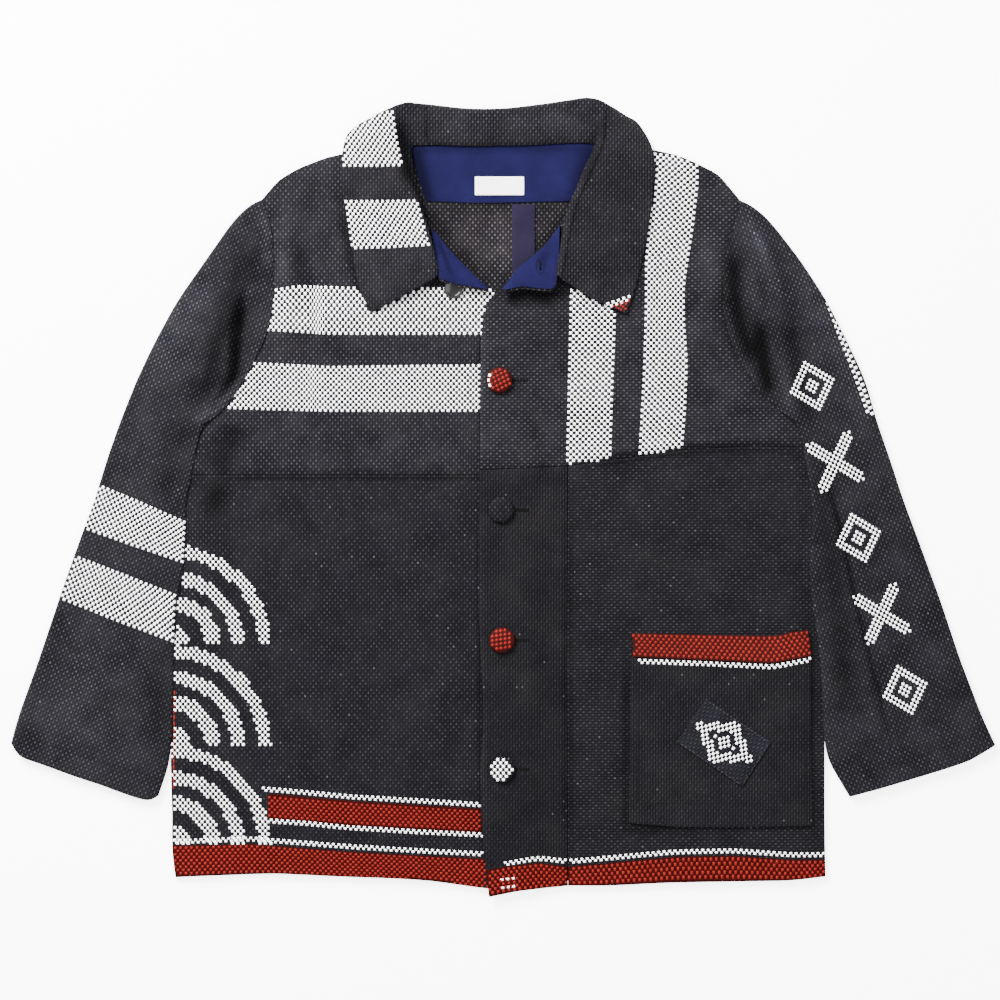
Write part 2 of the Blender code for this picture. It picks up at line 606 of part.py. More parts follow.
def add_button(name, right, down, base, radius, height, colour, collection, flat):
    """A turned button: flat underside, rounded rim, domed or flat top."""
    profile = [(0.0, height), (radius * 0.45, height - flat * 0.06 * radius), (radius * 0.8, height - flat * 0.16 * radius)]
    profile += [(radius * 0.97, height * 0.55), (radius, height * 0.36), (radius * 0.9, height * 0.08), (radius * 0.6, 0.0)]
    profile.append((0.0, 0.0))
    bm = bmesh.new()
    points = [bm.verts.new((across * MM, 0, up * MM)) for across, up in profile]
    for start, end in zip(points, points[1:]):
        bm.edges.new((start, end))
    mesh = bpy.data.meshes.new(name)
    bm.to_mesh(mesh)
    bm.free()
    piece = finish(name, mesh, colour, collection)
    piece.location = spot(right, down, base)
    turn = piece.modifiers.new("Turn", "SCREW")
    turn.steps = turn.render_steps = 18
    turn.use_merge_vertices = True
    turn.merge_threshold = 0.00005


def add_buttons(collection):
    colours = {"button_1": "red", "button_2": "charcoal", "button_3": "red", "button_4": "white"}
    for name, right, down in BUTTONS:
        base = front_left_top(right, down) + GAP
        add_button(name, right, down, base, BUTTON_RADIUS, BUTTON_HEIGHT, colours[name], collection, 1)
    right, down = TOP_BUTTON
    base = front_right_top(right, down) + GAP
    add_button("button_top", right, down, base, TOP_BUTTON_RADIUS, 3.4, "dark_gloss", collection, 0)


def main():
    clear_scene()
    collection = bpy.data.collections.new("sashiko_jacket")
    bpy.context.scene.collection.children.link(collection)
    add_back(collection)
    add_neck(collection)
    add_right_front(collection)
    add_left_front(collection)
    add_sleeves(collection)
    add_collar(collection)
    add_corner("right", CORNER_RIGHT, front_right_top, collection, flipped=False)
    add_corner("left", CORNER_LEFT, front_left_top, collection, flipped=True)
    add_pocket(collection)
    add_buttons(collection)


main()
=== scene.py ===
import math
import random

import bmesh
import bpy
import numpy as np
from mathutils import Matrix, Vector
from mathutils.bvhtree import BVHTree


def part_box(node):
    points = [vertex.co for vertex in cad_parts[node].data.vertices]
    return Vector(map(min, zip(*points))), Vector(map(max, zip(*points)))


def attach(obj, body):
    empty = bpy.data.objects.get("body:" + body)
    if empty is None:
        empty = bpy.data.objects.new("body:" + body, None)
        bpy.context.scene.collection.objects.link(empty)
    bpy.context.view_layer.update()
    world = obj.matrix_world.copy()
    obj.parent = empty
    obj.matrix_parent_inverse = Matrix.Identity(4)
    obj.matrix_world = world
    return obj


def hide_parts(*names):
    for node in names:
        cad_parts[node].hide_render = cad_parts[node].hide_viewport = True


# Sashiko jacket laid flat. Board points are millimetres: right along the laying board, down from
# its top edge. Heights are millimetres above the surface. Right and left are the wearer's.

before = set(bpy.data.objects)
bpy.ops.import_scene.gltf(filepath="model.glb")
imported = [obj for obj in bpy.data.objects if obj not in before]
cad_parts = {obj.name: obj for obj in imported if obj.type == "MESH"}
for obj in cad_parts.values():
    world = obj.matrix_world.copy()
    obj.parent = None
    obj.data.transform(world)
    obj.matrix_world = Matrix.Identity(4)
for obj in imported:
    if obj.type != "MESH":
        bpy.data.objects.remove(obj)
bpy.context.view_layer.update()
mm = 0.001
boardMiddle = (503.25, 497.9)

cloth = {
    "wall": 2.2,
    "collarWall": 2.4,
    "facingWall": 1.2,
    "cornerWall": 1.6,
    "patchWall": 1.2,
    "labelWall": 0.6,
    "tapeWall": 1.0,
    "gap": 0.3,
    "lying": 0.6,
    "grid": 3.4,  # spacing of the modelled cloth
    "stitchAcross": 5.5,  # one repeat of the weave, across and along
    "stitchAlong": 6.2,
}

body = {
    "armholeRight": [(260, 201), (270, 223), (272, 243), (273, 284), (270, 317), (265, 335), (252, 363),
                     (239, 386), (224, 409), (198, 427)],
    "armholeLeft": [(743, 203), (734, 231), (727, 247), (723, 271), (723, 299), (727, 324), (737, 353),
                    (751, 378), (766, 399), (780, 409), (801, 424)],
    "sideRight": [(198, 427), (196, 448), (191, 475), (184, 500), (185, 530), (184, 564), (175, 600),
                  (173, 640), (172, 700), (170, 760), (172, 820), (171, 850), (175, 878)],
    "sideLeft": [(801, 424), (804, 447), (809, 470), (815, 515), (810, 576), (816, 618), (822, 660),
                 (825, 717), (825, 820), (826, 877)],
    "shoulderRight": [(260, 201), (278, 180), (298, 168), (326, 157), (345, 153), (378, 148), (408, 144)],
    "shoulderLeft": [(598, 142), (628, 146), (652, 149), (679, 155), (699, 164), (719, 174), (743, 203)],
    "backNeck": [(408, 144), (440, 146), (500, 148), (560, 145), (598, 142)],
    "necklineRight": [(408, 144), (414, 172), (425, 220), (435, 231), (445, 244), (458, 258), (477, 277),
                      (494, 292)],
    "necklineLeft": [(598, 142), (585, 166), (562, 223), (544, 245), (530, 257), (518, 266), (507, 281),
                     (495, 293)],
    "lapUpper": [(494, 292), (506, 308), (516, 332), (520, 365), (520, 475)],
    "lapLower": [(520, 475), (520, 680), (520, 890)],
    "placketUpper": [(495, 293), (484, 312), (481, 340), (480, 400), (479.5, 470)],
    "placketLower": [(479.5, 470), (478, 600), (481, 659), (484, 719), (480, 768), (481, 817), (485, 863),
                     (489, 897)],
    "yokeRight": [(191, 475), (300, 475), (520, 475)],
    "yokeLeft": [(479.5, 470), (568, 466), (689, 449), (755, 446), (804, 447)],
    "centreSeam": [(568, 466), (567, 640), (568, 886)],
    "hemRight": [(175, 878), (220, 874), (280, 874), (340, 877), (400, 879), (430, 881), (485, 889), (520, 890)],
    "hemCentre": [(489, 897), (519, 891), (568, 886)],
    "hemSide": [(568, 886), (610, 886), (670, 883), (730, 882), (790, 881), (826, 877)],
    "hemBack": [(175, 878), (280, 874), (400, 877), (500, 882), (670, 881), (790, 880), (826, 877)],
    "laid": 7.8,  # top of the fronts over the back
    "hemLaid": 6.4,
    "sideLaid": 4.7,
    "sideReach": 18.0,
    "neckLift": 2.9,
    "lapEdge": 520.0,
    "lapEnd": 524.0,
    "lapReach": 24.0,
}

# Folds: route of each crest or trough, its rise in millimetres and half width
frontFolds = {
    "right": [
        dict(route=[(206, 425), (216, 450), (210, 505)], rise=3.0, reach=10),
        dict(route=[(286, 240), (292, 300), (284, 350)], rise=2.0, reach=10),
        dict(route=[(330, 520), (322, 640), (330, 760)], rise=1.5, reach=24),
        dict(route=[(430, 500), (438, 620), (430, 780)], rise=1.2, reach=22),
    ],
    "left": [
        dict(route=[(712, 215), (706, 262), (709, 316), (722, 352)], rise=3.0, reach=10),
        dict(route=[(790, 436), (800, 480), (803, 530)], rise=2.2, reach=10),
        dict(route=[(640, 480), (648, 560), (640, 620)], rise=1.4, reach=22),
        dict(route=[(742, 480), (750, 560), (744, 610)], rise=1.4, reach=20),
    ],
    "smallRight": [
        dict(route=[(303, 262), (307, 300), (304, 345)], rise=1.3, reach=5),
        dict(route=[(314, 262), (317, 300), (314, 352)], rise=-1.4, reach=5),
        dict(route=[(272, 300), (262, 345), (238, 400)], rise=-1.0, reach=5),
        dict(route=[(228, 420), (236, 452), (230, 520), (238, 590)], rise=-1.3, reach=7),
        dict(route=[(250, 430), (262, 480), (256, 560)], rise=1.0, reach=8),
        dict(route=[(196, 560), (215, 640), (205, 740)], rise=0.9, reach=9),
        dict(route=[(228, 428), (212, 452), (206, 486)], rise=-1.8, reach=8),
        dict(route=[(205, 470), (240, 466), (300, 467), (400, 468)], rise=0.9, reach=3),
        dict(route=[(378, 500), (372, 620), (384, 740)], rise=-0.8, reach=14),
    ],
    "smallLeft": [
        dict(route=[(690, 250), (686, 300), (690, 350)], rise=-1.3, reach=6),
        dict(route=[(668, 340), (672, 390), (668, 440)], rise=0.9, reach=7),
        dict(route=[(730, 360), (744, 396), (770, 430)], rise=1.1, reach=7),
        dict(route=[(600, 500), (606, 580), (598, 640)], rise=-0.8, reach=12),
        dict(route=[(694, 480), (700, 560), (692, 612)], rise=-0.9, reach=11),
        dict(route=[(790, 560), (782, 660), (794, 780)], rise=0.9, reach=10),
        dict(route=[(535, 500), (538, 620), (533, 790)], rise=0.6, reach=9),
        dict(route=[(570, 460), (640, 449), (700, 441), (755, 438), (798, 440)], rise=0.9, reach=3.5),
        dict(route=[(600, 470), (690, 458), (755, 456), (800, 457)], rise=0.7, reach=3.5),
    ],
}


def smooth(value):
    value = np.clip(value, 0.0, 1.0)
    return value * value * (3 - 2 * value)


def spot(right, down, up):  # board points as points of the part, in metres
    right, down, up = np.broadcast_arrays(right, down, up)
    return np.stack([right - boardMiddle[0], boardMiddle[1] - down, up], axis=-1) * mm


def board(points):  # and back
    return points[..., 0] / mm + boardMiddle[0], boardMiddle[1] - points[..., 1] / mm


def along(points, shares):  # points at these shares of a polyline's length
    points = np.asarray(points, float)
    passed = np.concatenate([[0.0], np.cumsum(np.linalg.norm(np.diff(points, axis=0), axis=1))])
    shares = np.asarray(shares, float) * passed[-1]
    return np.stack([np.interp(shares, passed, points[:, k]) for k in range(points.shape[1])], axis=-1)


def eased(points, fine=80, rounds=12):
    found = along(points, np.linspace(0, 1, fine + 1))
    for _ in range(rounds):
        found[1:-1] = (found[:-2] + 2 * found[1:-1] + found[2:]) / 4
    return found


def stretched(steps, *stretches):  # points along an edge of one or more eased stretches
    lines = [eased(points) for points in stretches]
    lengths = [np.linalg.norm(np.diff(line, axis=0), axis=1).sum() for line in lines]
    found = [along(line, np.linspace(0, 1, 200)) for line in lines]
    whole = np.concatenate([found[0]] + [line[1:] for line in found[1:]])
    return along(whole, np.linspace(0, 1, steps + 1)) if sum(lengths) else whole


def aside(points, offset):  # the polyline moved to its left
    points = np.asarray(points, float)
    before = np.concatenate([points[:1], points[:-1]])
    after = np.concatenate([points[1:], points[-1:]])
    run = after - before
    run /= np.linalg.norm(run, axis=1)[:, None]
    return points + np.stack([run[:, 1], -run[:, 0]], axis=1) * offset


def nearRoute(route, right, down):  # distance to a route, and the share of its length there
    route = np.asarray(route, float)
    steps = np.diff(route, axis=0)
    lengths = np.hypot(steps[:, 0], steps[:, 1])
    best, where, passed = np.full(np.shape(right), 1e9), np.zeros(np.shape(right)), 0.0
    for start, step, length in zip(route, steps, lengths):
        share = np.clip(((right - start[0]) * step[0] + (down - start[1]) * step[1]) / length**2, 0, 1)
        gap = np.hypot(right - start[0] - share * step[0], down - start[1] - share * step[1])
        closer = gap < best
        where = np.where(closer, (passed + share * length) / lengths.sum(), where)
        best = np.where(closer, gap, best)
        passed += length
    return best, where


def foldsAt(folds, right, down):
    rise = np.zeros(np.shape(right))
    for fold in folds:
        gap, where = nearRoute(fold["route"], right, down)
        fade = smooth(where / 0.2) * smooth((1 - where) / 0.2)
        rise = rise + fold["rise"] * np.exp(-((gap / fold["reach"]) ** 2)) * (0.25 + 0.75 * fade)
    return rise


def rippled(right, down, seed, length=46.0, height=0.35):  # slight unevenness of laid cloth
    draws = random.Random(seed)
    rise = np.zeros(np.shape(right))
    for _ in range(9):
        turn, phase = draws.uniform(0, math.tau), draws.uniform(0, math.tau)
        wave = math.tau / (length * draws.uniform(0.6, 2.2))
        rise = rise + np.sin((right * math.cos(turn) + down * math.sin(turn)) * wave + phase)
    return rise * height / 3


def puckered(right, down, seam, seed, reach=9.0, depth=0.9):  # cloth drawn in along a seam
    gap, where = nearRoute(seam, right, down)
    length = np.linalg.norm(np.diff(np.asarray(seam, float), axis=0), axis=1).sum()
    draws = random.Random(seed)
    waves = sum(
        np.sin(where * length * math.tau / draws.uniform(11, 26) + draws.uniform(0, math.tau)) for _ in range(4)
    )
    return -depth * np.exp(-((gap / (reach * 0.42)) ** 2)) + 0.22 * waves * np.exp(-((gap / reach) ** 2))


def frontLaid(right, down):
    height = body["laid"] - (body["laid"] - body["hemLaid"]) * smooth((down - 780) / 90)
    onRight = right < boardMiddle[0]
    gap = np.where(onRight, nearRoute(body["sideRight"], right, down)[0], nearRoute(body["sideLeft"], right, down)[0])
    shoulder = np.where(
        onRight, nearRoute(body["shoulderRight"], right, down)[0], nearRoute(body["shoulderLeft"], right, down)[0]
    )
    nearest = smooth(gap / body["sideReach"]) * smooth(0.35 + shoulder / body["sideReach"])
    lowest = backTop(right, down) + cloth["wall"] + cloth["gap"] + 0.2
    return np.maximum(body["sideLaid"] + (height - body["sideLaid"]) * nearest, lowest)


def backTop(right, down):
    inside = smooth((right - 356) / 26) * smooth((650 - right) / 26)
    return cloth["wall"] + body["neckLift"] * inside * smooth((226 - down) / 34)


def fading(right, down):  # small relief stops at the side seams, so that the seams stay shut
    right, down = np.asarray(right, float), np.asarray(down, float)
    side = np.minimum(nearRoute(body["sideRight"], right, down)[0], nearRoute(body["sideLeft"], right, down)[0])
    return smooth(side / 14)


def frontRightTop(right, down):
    settled = smooth((body["lapEdge"] - 28 - right) / 30)
    rise = foldsAt(frontFolds["right"], right, down)
    rise += foldsAt(frontFolds["smallRight"], right, down) + rippled(right, down, 11)
    rise += puckered(right, down, body["yokeRight"], 12) * fading(right, down)
    rise += puckered(right, down, body["armholeRight"], 13, depth=0.5)
    return frontLaid(right, down) + rise * settled


def frontLeftTop(right, down):
    lap = 1 - smooth((right - body["lapEnd"]) / body["lapReach"])
    rise = foldsAt(frontFolds["left"], right, down)
    small = foldsAt(frontFolds["smallLeft"], right, down) + rippled(right, down, 21)
    small += puckered(right, down, body["yokeLeft"], 22) * fading(right, down)
    small += puckered(right, down, body["centreSeam"], 23) * smooth((down - 452) / 16)
    small += puckered(right, down, body["armholeLeft"], 24, depth=0.5)
    return frontLaid(right, down) + (cloth["wall"] + cloth["gap"]) * lap + rise + small


def patchPoints(left, right, top, bottom):  # board points over a four-sided piece, from its edges
    left, right = left.copy(), right.copy()
    left[0], left[-1], right[0], right[-1] = top[0], bottom[0], top[-1], bottom[-1]
    v = np.linspace(0, 1, len(left))[:, None, None]
    u = np.linspace(0, 1, len(top))[None, :, None]
    ruled = (1 - v) * top[None] + v * bottom[None] + (1 - u) * left[:, None] + u * right[:, None]
    corners = (1 - v) * ((1 - u) * top[0] + u * top[-1]) + v * ((1 - u) * bottom[0] + u * bottom[-1])
    return ruled - corners


def lengthOf(points):
    return np.linalg.norm(np.diff(np.asarray(points, float), axis=0), axis=1).sum()


def finishPiece(name, bm, nodes=(), soft=True):
    mesh = bpy.data.meshes.new(name)
    bm.to_mesh(mesh)
    bm.free()
    if soft:
        mesh.shade_smooth()
    piece = bpy.data.objects.new(name, mesh)
    bpy.context.scene.collection.objects.link(piece)
    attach(piece, "root")
    if nodes:
        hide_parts(*nodes)
    return piece


def gridOver(points):  # a create_grid sheet laid over rows of points
    rows, columns = points.shape[0] - 1, points.shape[1] - 1
    bm = bmesh.new()
    bmesh.ops.create_grid(bm, x_segments=columns, y_segments=rows, size=0.5)
    for vert in bm.verts:
        i, j = round((vert.co.x + 0.5) * columns), round((0.5 - vert.co.y) * rows)
        vert.co = points[j, i]
    return bm


def rimSoftened(piece, width=0.55):
    edge = piece.modifiers.new("Rim", "BEVEL")
    edge.width = width * mm
    edge.segments = 2
    edge.limit_method = "ANGLE"
    edge.angle_limit = math.radians(50)
    edge.harden_normals = False
    return piece


def grounded(piece):  # the shell as plain mesh, none of it below the surface it lies on
    made = bpy.data.meshes.new_from_object(piece.evaluated_get(bpy.context.evaluated_depsgraph_get()))
    piece.modifiers.clear()
    piece.data = made
    for vert in made.vertices:
        vert.co.z = max(vert.co.z, 0.0)
    return piece


def panel(name, edges, topHeight, wall, node, spacing=None):
    spacing = spacing or cloth["grid"]
    across = max(lengthOf(edges["top"][0]), lengthOf(edges["bottom"][0]))
    deep = sum(lengthOf(points) for points in edges["left"])
    columns, rows = max(round(across / spacing), 3), max(round(deep / spacing), 3)
    lines = {
        side: stretched(columns if side in ("top", "bottom") else rows, *points) for side, points in edges.items()
    }
    plan = patchPoints(**lines)
    right, down = plan[..., 0], plan[..., 1]
    bm = gridOver(spot(right, down, topHeight(right, down)))
    under = bmesh.ops.extrude_face_region(bm, geom=bm.faces[:], use_keep_orig=True)["geom"]
    under = [part for part in under if isinstance(part, bmesh.types.BMVert)]
    bmesh.ops.translate(bm, verts=under, vec=(0, 0, -wall * mm))
    bmesh.ops.recalc_face_normals(bm, faces=bm.faces[:])
    return rimSoftened(finishPiece(name, bm, [node]))


def lowered(points, offset):
    return [(right, down + offset) for right, down in points]


def bodyPanels():
    half = cloth["gap"] / 2
    armRight, armLeft = aside(body["armholeRight"], half), aside(body["armholeLeft"], -half)
    yokeAt = body["sideRight"].index((191, 475))
    back = panel(
        "backPanel",
        dict(left=[armRight, body["sideRight"]], right=[armLeft, body["sideLeft"]],
             top=[body["shoulderRight"] + body["backNeck"][1:] + body["shoulderLeft"][1:]],
             bottom=[body["hemBack"]]),
        backTop, cloth["wall"], "back_panel", spacing=5.0,
    )
    rightUpper = panel(
        "frontRightUpper",
        dict(left=[armRight, body["sideRight"][: yokeAt + 1]], right=[body["necklineRight"], body["lapUpper"]],
             top=[body["shoulderRight"]], bottom=[lowered(body["yokeRight"], -half)]),
        frontRightTop, cloth["wall"], "front_right_upper",
    )
    rightLower = panel(
        "frontRightLower",
        dict(left=[body["sideRight"][yokeAt:]], right=[body["lapLower"]],
             top=[lowered(body["yokeRight"], half)], bottom=[body["hemRight"]]),
        frontRightTop, cloth["wall"], "front_right_lower",
    )
    seam, seamDown = body["yokeLeft"][1]
    yokeCentre = [body["yokeLeft"][0], (seam - half, seamDown)]
    yokeSide = [(seam + half, seamDown), *body["yokeLeft"][2:]]
    leftUpper = panel(
        "frontLeftUpper",
        dict(left=[body["necklineLeft"], body["placketUpper"]], right=[armLeft, body["sideLeft"][:2]],
             top=[body["shoulderLeft"]], bottom=[lowered(body["yokeLeft"], -half)]),
        frontLeftTop, cloth["wall"], "front_left_upper",
    )
    leftCentre = panel(
        "frontLeftCentre",
        dict(left=[body["placketLower"]], right=[aside(body["centreSeam"], -half)],
             top=[lowered(yokeCentre, half)], bottom=[body["hemCentre"]]),
        frontLeftTop, cloth["wall"], "front_left_centre",
    )
    leftSide = panel(
        "frontLeftSide",
        dict(left=[aside(body["centreSeam"], half)], right=[body["sideLeft"][1:]],
             top=[lowered(yokeSide, half)], bottom=[body["hemSide"]]),
        frontLeftTop, cloth["wall"], "front_left_side",
    )
    return back, rightUpper, rightLower, leftUpper, leftCentre, leftSide


sleeve = {
    "rightOuter": [(263, 198.6), (256, 200), (250, 203), (233, 220), (205, 260), (177, 300), (155, 340), (136, 380),
                   (120, 420), (106, 460), (94, 500), (79, 540), (58, 600), (38, 660), (17, 718), (10.5, 743)],
    "rightCuff": [(10.5, 743), (19, 757), (40, 764), (70, 775), (100, 785), (130, 796), (150, 802), (158, 796)],
    "rightTail": [(168, 767), (158, 796)],
    "leftOuter": [(740, 199.6), (747, 201.6), (753, 204.6), (770, 220), (801, 260), (827, 300), (847, 340), (866, 380),
                  (877, 420), (891, 460), (904, 500), (919, 540), (941, 600), (961, 660), (984, 720), (996, 745)],
    "leftCuff": [(996, 745), (970, 761), (940, 771), (910, 780), (880, 789), (850, 797)],
    "leftTail": [(829, 762), (850, 797)],
    "clear": -1.4,  # a sleeve reaches this far over the body's edges
    "capShare": 0.4,
    "underarmShare": 0.08,
    "underarmClear": 0.0,
    "underarmEnd": 430.0,
    "underarmLift": 0.9,
    "underarmReach": 34.0,
    "rightFolds": [
        dict(route=[(256, 212), (257, 240), (253, 268), (240, 294), (228, 320), (227, 345), (228, 385), (200, 420)],
             rise=7.5, reach=9),
        dict(route=[(232, 262), (218, 300), (206, 345), (192, 392)], rise=3.0, reach=15),
        dict(route=[(246, 286), (238, 335), (236, 376), (214, 408)], rise=-5.0, reach=5),
        dict(route=[(208, 236), (186, 290), (160, 350)], rise=2.2, reach=16),
        dict(route=[(170, 470), (140, 560), (112, 650)], rise=1.8, reach=16),
        dict(route=[(128, 470), (98, 560), (74, 650)], rise=-1.4, reach=14),
    ],
    "rightSmall": [
        dict(route=[(240, 318), (216, 350), (206, 400)], rise=-1.6, reach=6),
        dict(route=[(160, 380), (140, 440), (128, 500)], rise=1.0, reach=9),
        dict(route=[(150, 640), (128, 700), (110, 760)], rise=1.2, reach=9),
        dict(route=[(60, 660), (46, 710), (36, 748)], rise=0.9, reach=8),
        dict(route=[(186, 240), (170, 290), (140, 350)], rise=-0.8, reach=8),
        dict(route=[(196, 440), (168, 452), (140, 470)], rise=-0.9, reach=8),
    ],
    "leftFolds": [
        dict(route=[(746, 212), (760, 238), (768, 262), (780, 288)], rise=6.5, reach=8),
        dict(route=[(752, 262), (758, 296), (769, 340), (780, 378)], rise=3.6, reach=6),
        dict(route=[(737, 262), (740, 310), (750, 345), (760, 366)], rise=-5.0, reach=7),
        dict(route=[(757, 322), (763, 356), (769, 400)], rise=-6.0, reach=6),
        dict(route=[(770, 300), (776, 345), (790, 392), (806, 430)], rise=5.0, reach=11),
        dict(route=[(812, 330), (832, 400), (850, 480), (868, 560)], rise=2.4, reach=15),
        dict(route=[(838, 560), (858, 640), (886, 720)], rise=2.2, reach=13),
        dict(route=[(925, 600), (940, 660), (955, 715)], rise=1.6, reach=14),
    ],
    "leftSmall": [
        dict(route=[(790, 300), (800, 350), (820, 400)], rise=-1.6, reach=7),
        dict(route=[(866, 420), (880, 480), (896, 540)], rise=0.9, reach=8),
        dict(route=[(822, 500), (840, 560), (846, 610)], rise=-1.0, reach=8),
        dict(route=[(900, 640), (912, 700), (925, 750)], rise=-1.1, reach=8),
        dict(route=[(862, 640), (872, 700), (880, 760)], rise=0.9, reach=8),
        dict(route=[(820, 452), (850, 462), (880, 480)], rise=-0.8, reach=8),
        dict(route=[(824, 470), (844, 540), (856, 601), (881, 702), (893, 752)], rise=-1.6, reach=3),
        dict(route=[(817, 470), (837, 540), (849, 601), (874, 702), (886, 752)], rise=1.0, reach=4),
    ],
}


def sleeveRows(outer, inner, armhole, cuff, rows, columns):  # rows from armhole to cuff, fanning at the underarm
    outer, inner = eased(outer, rounds=3), eased(inner, rounds=4)
    curved = stretched(columns, armhole), stretched(columns, cuff)
    u = np.linspace(0, 1, columns + 1)[:, None]
    bends = [line - (line[0] + (line[-1] - line[0]) * u) for line in curved]
    capShare, underarmShare = sleeve["capShare"], sleeve["underarmShare"]
    grid = []
    for v in np.linspace(0, 1, rows + 1):
        if v < capShare:
            innerShare = underarmShare * v / capShare
        else:
            innerShare = underarmShare + (1 - underarmShare) * (v - capShare) / (1 - capShare)
        start, end = along(outer, v), along(inner, innerShare)
        weights = max(1 - v / capShare, 0) ** 3, max((v - 0.8) / 0.2, 0) ** 2
        grid.append(start + (end - start) * u + sum(bend * weight for bend, weight in zip(bends, weights)))
    return grid


def sleevePiece(name, node, side, armhole, outer, cuff, tail, folds, small, way, seed):
    beside = aside(eased(side), way * sleeve["clear"])
    underarm = (beside[0][0] + way * sleeve["underarmClear"], beside[0][1] - sleeve["underarmClear"] / 2)
    inner = [underarm, *(p for p in beside if sleeve["underarmEnd"] < p[1] < tail[0][1] - 25), *tail]
    armLine = [outer[0], *aside(eased(armhole), way * sleeve["clear"])[1:-1], underarm]
    grid = sleeveRows(outer, inner, armLine, cuff, rows=176, columns=60)
    corner = grid[0][-1]
    radius = body["laid"] / 2
    rounded = np.array([0.0, 0.06, 0.17, 0.34, 0.6, 0.9]) * radius
    rings = []
    for line in grid:
        width = lengthOf(line)
        inside = np.linspace(rounded[-1], width - rounded[-1], 41)[1:-1]
        stations = np.concatenate([rounded, inside, width - rounded[::-1]])
        plan = along(line, stations / width)
        right, down = plan[:, 0], plan[:, 1]
        edge = np.minimum(stations, width - stations) / radius
        full = np.sqrt(np.maximum(1 - (1 - np.minimum(edge, 1.0)) ** 2, 0))
        rise = foldsAt(folds, right, down) + foldsAt(small, right, down) + rippled(right, down, seed, height=0.5)
        height = np.maximum(body["laid"] + rise * smooth(edge / 3), radius + 1.2)
        clear = sleeve["underarmLift"] * smooth(1 - np.hypot(*(plan - corner).T) / sleeve["underarmReach"])
        over = spot(right, down, radius + (height - radius) * full)
        under = spot(right, down, radius - radius * full + clear)
        rings.append(np.concatenate([over, under[-2:0:-1], over[:1]]))
    rings = np.array(rings)
    bm = gridOver(rings if way < 0 else rings[:, ::-1])
    bmesh.ops.remove_doubles(bm, verts=bm.verts[:], dist=1e-6)
    piece = finishPiece(name, bm, [node])
    shell = piece.modifiers.new("Wall", "SOLIDIFY")
    shell.thickness = cloth["wall"] * mm
    shell.offset = -1
    shell.use_quality_normals = True
    return grounded(rimSoftened(piece, 0.5))


def sleevePieces():
    right = sleevePiece(
        "sleeveRight", "sleeve_right", body["sideRight"], body["armholeRight"], sleeve["rightOuter"],
        sleeve["rightCuff"], sleeve["rightTail"], sleeve["rightFolds"], sleeve["rightSmall"], -1, 31,
    )
    left = sleevePiece(
        "sleeveLeft", "sleeve_left", body["sideLeft"], body["armholeLeft"], sleeve["leftOuter"],
        sleeve["leftCuff"], sleeve["leftTail"], sleeve["leftFolds"], sleeve["leftSmall"], 1, 32,
    )
    return right, left


collar = {
    # free edge, middle of the fall, roll and foot of the stand, from the right front round to the left
    "rows": [
        [(372, 312, 9.4), (404, 296, 13.5), (437, 276, 18.5), (438, 274, 11.0)],
        [(360, 290, 9.4), (396, 273, 14.5), (433, 254, 19.5), (433, 252, 11.0)],
        [(352, 248, 9.4), (388, 240, 15.0), (427, 230, 20.0), (426, 226, 11.0)],
        [(344, 202, 9.4), (379, 202, 15.0), (415, 199, 20.5), (421, 203, 11.0)],
        [(341, 176, 9.2), (372, 174, 15.0), (404, 168, 20.5), (414, 176, 11.0)],
        [(343, 151, 8.6), (369, 146, 15.0), (397, 141, 20.0), (411, 157, 10.4)],
        [(350, 132, 5.0), (370, 125, 12.5), (394, 121, 19.0), (412, 146, 7.2)],
        [(374, 121, 1.3), (379, 114, 7.0), (397, 111, 17.5), (423, 145, 7.0)],
        [(404, 150, 1.3), (396, 112, 2.0), (408, 105, 16.0), (440, 145, 7.2)],
        [(436, 170, 1.3), (428, 111, 1.3), (428, 106, 15.0), (456, 145.5, 7.2)],
        [(470, 176, 1.3), (466, 114, 1.3), (466, 110, 14.5), (478, 146, 7.2)],
        [(502, 178, 1.3), (502, 114, 1.3), (502, 110, 14.5), (502, 145.5, 7.2)],
        [(536, 175, 1.3), (540, 110, 1.3), (540, 106, 14.5), (528, 145, 7.2)],
        [(568, 168, 1.3), (570, 107, 1.3), (568, 102, 15.0), (550, 144, 7.2)],
        [(598, 148, 1.3), (604, 109, 2.0), (587, 100, 16.0), (568, 143, 7.2)],
        [(628, 119, 1.3), (619, 112, 7.0), (601, 106, 17.5), (583, 142.5, 7.0)],
        [(645, 134, 5.0), (624, 126, 12.5), (602, 121, 19.0), (594, 144, 7.2)],
        [(654, 158, 9.4), (626, 151, 15.0), (599, 144, 20.0), (594, 150, 10.4)],
        [(653, 188, 9.8), (621, 179, 15.0), (588, 170, 20.5), (584, 174, 11.0)],
        [(650, 218, 9.4), (611, 208, 15.0), (572, 206, 20.5), (569, 207, 11.0)],
        [(644, 250, 9.4), (604, 243, 15.0), (565, 236, 20.0), (563, 232, 11.0)],
        [(636, 284, 9.4), (598, 273, 14.5), (561, 259, 19.5), (560, 256, 11.0)],
        [(626, 314, 9.4), (590, 298, 13.5), (558, 276, 18.5), (557, 273, 11.0)],
    ],
    "rollWidth": 6.0,
}


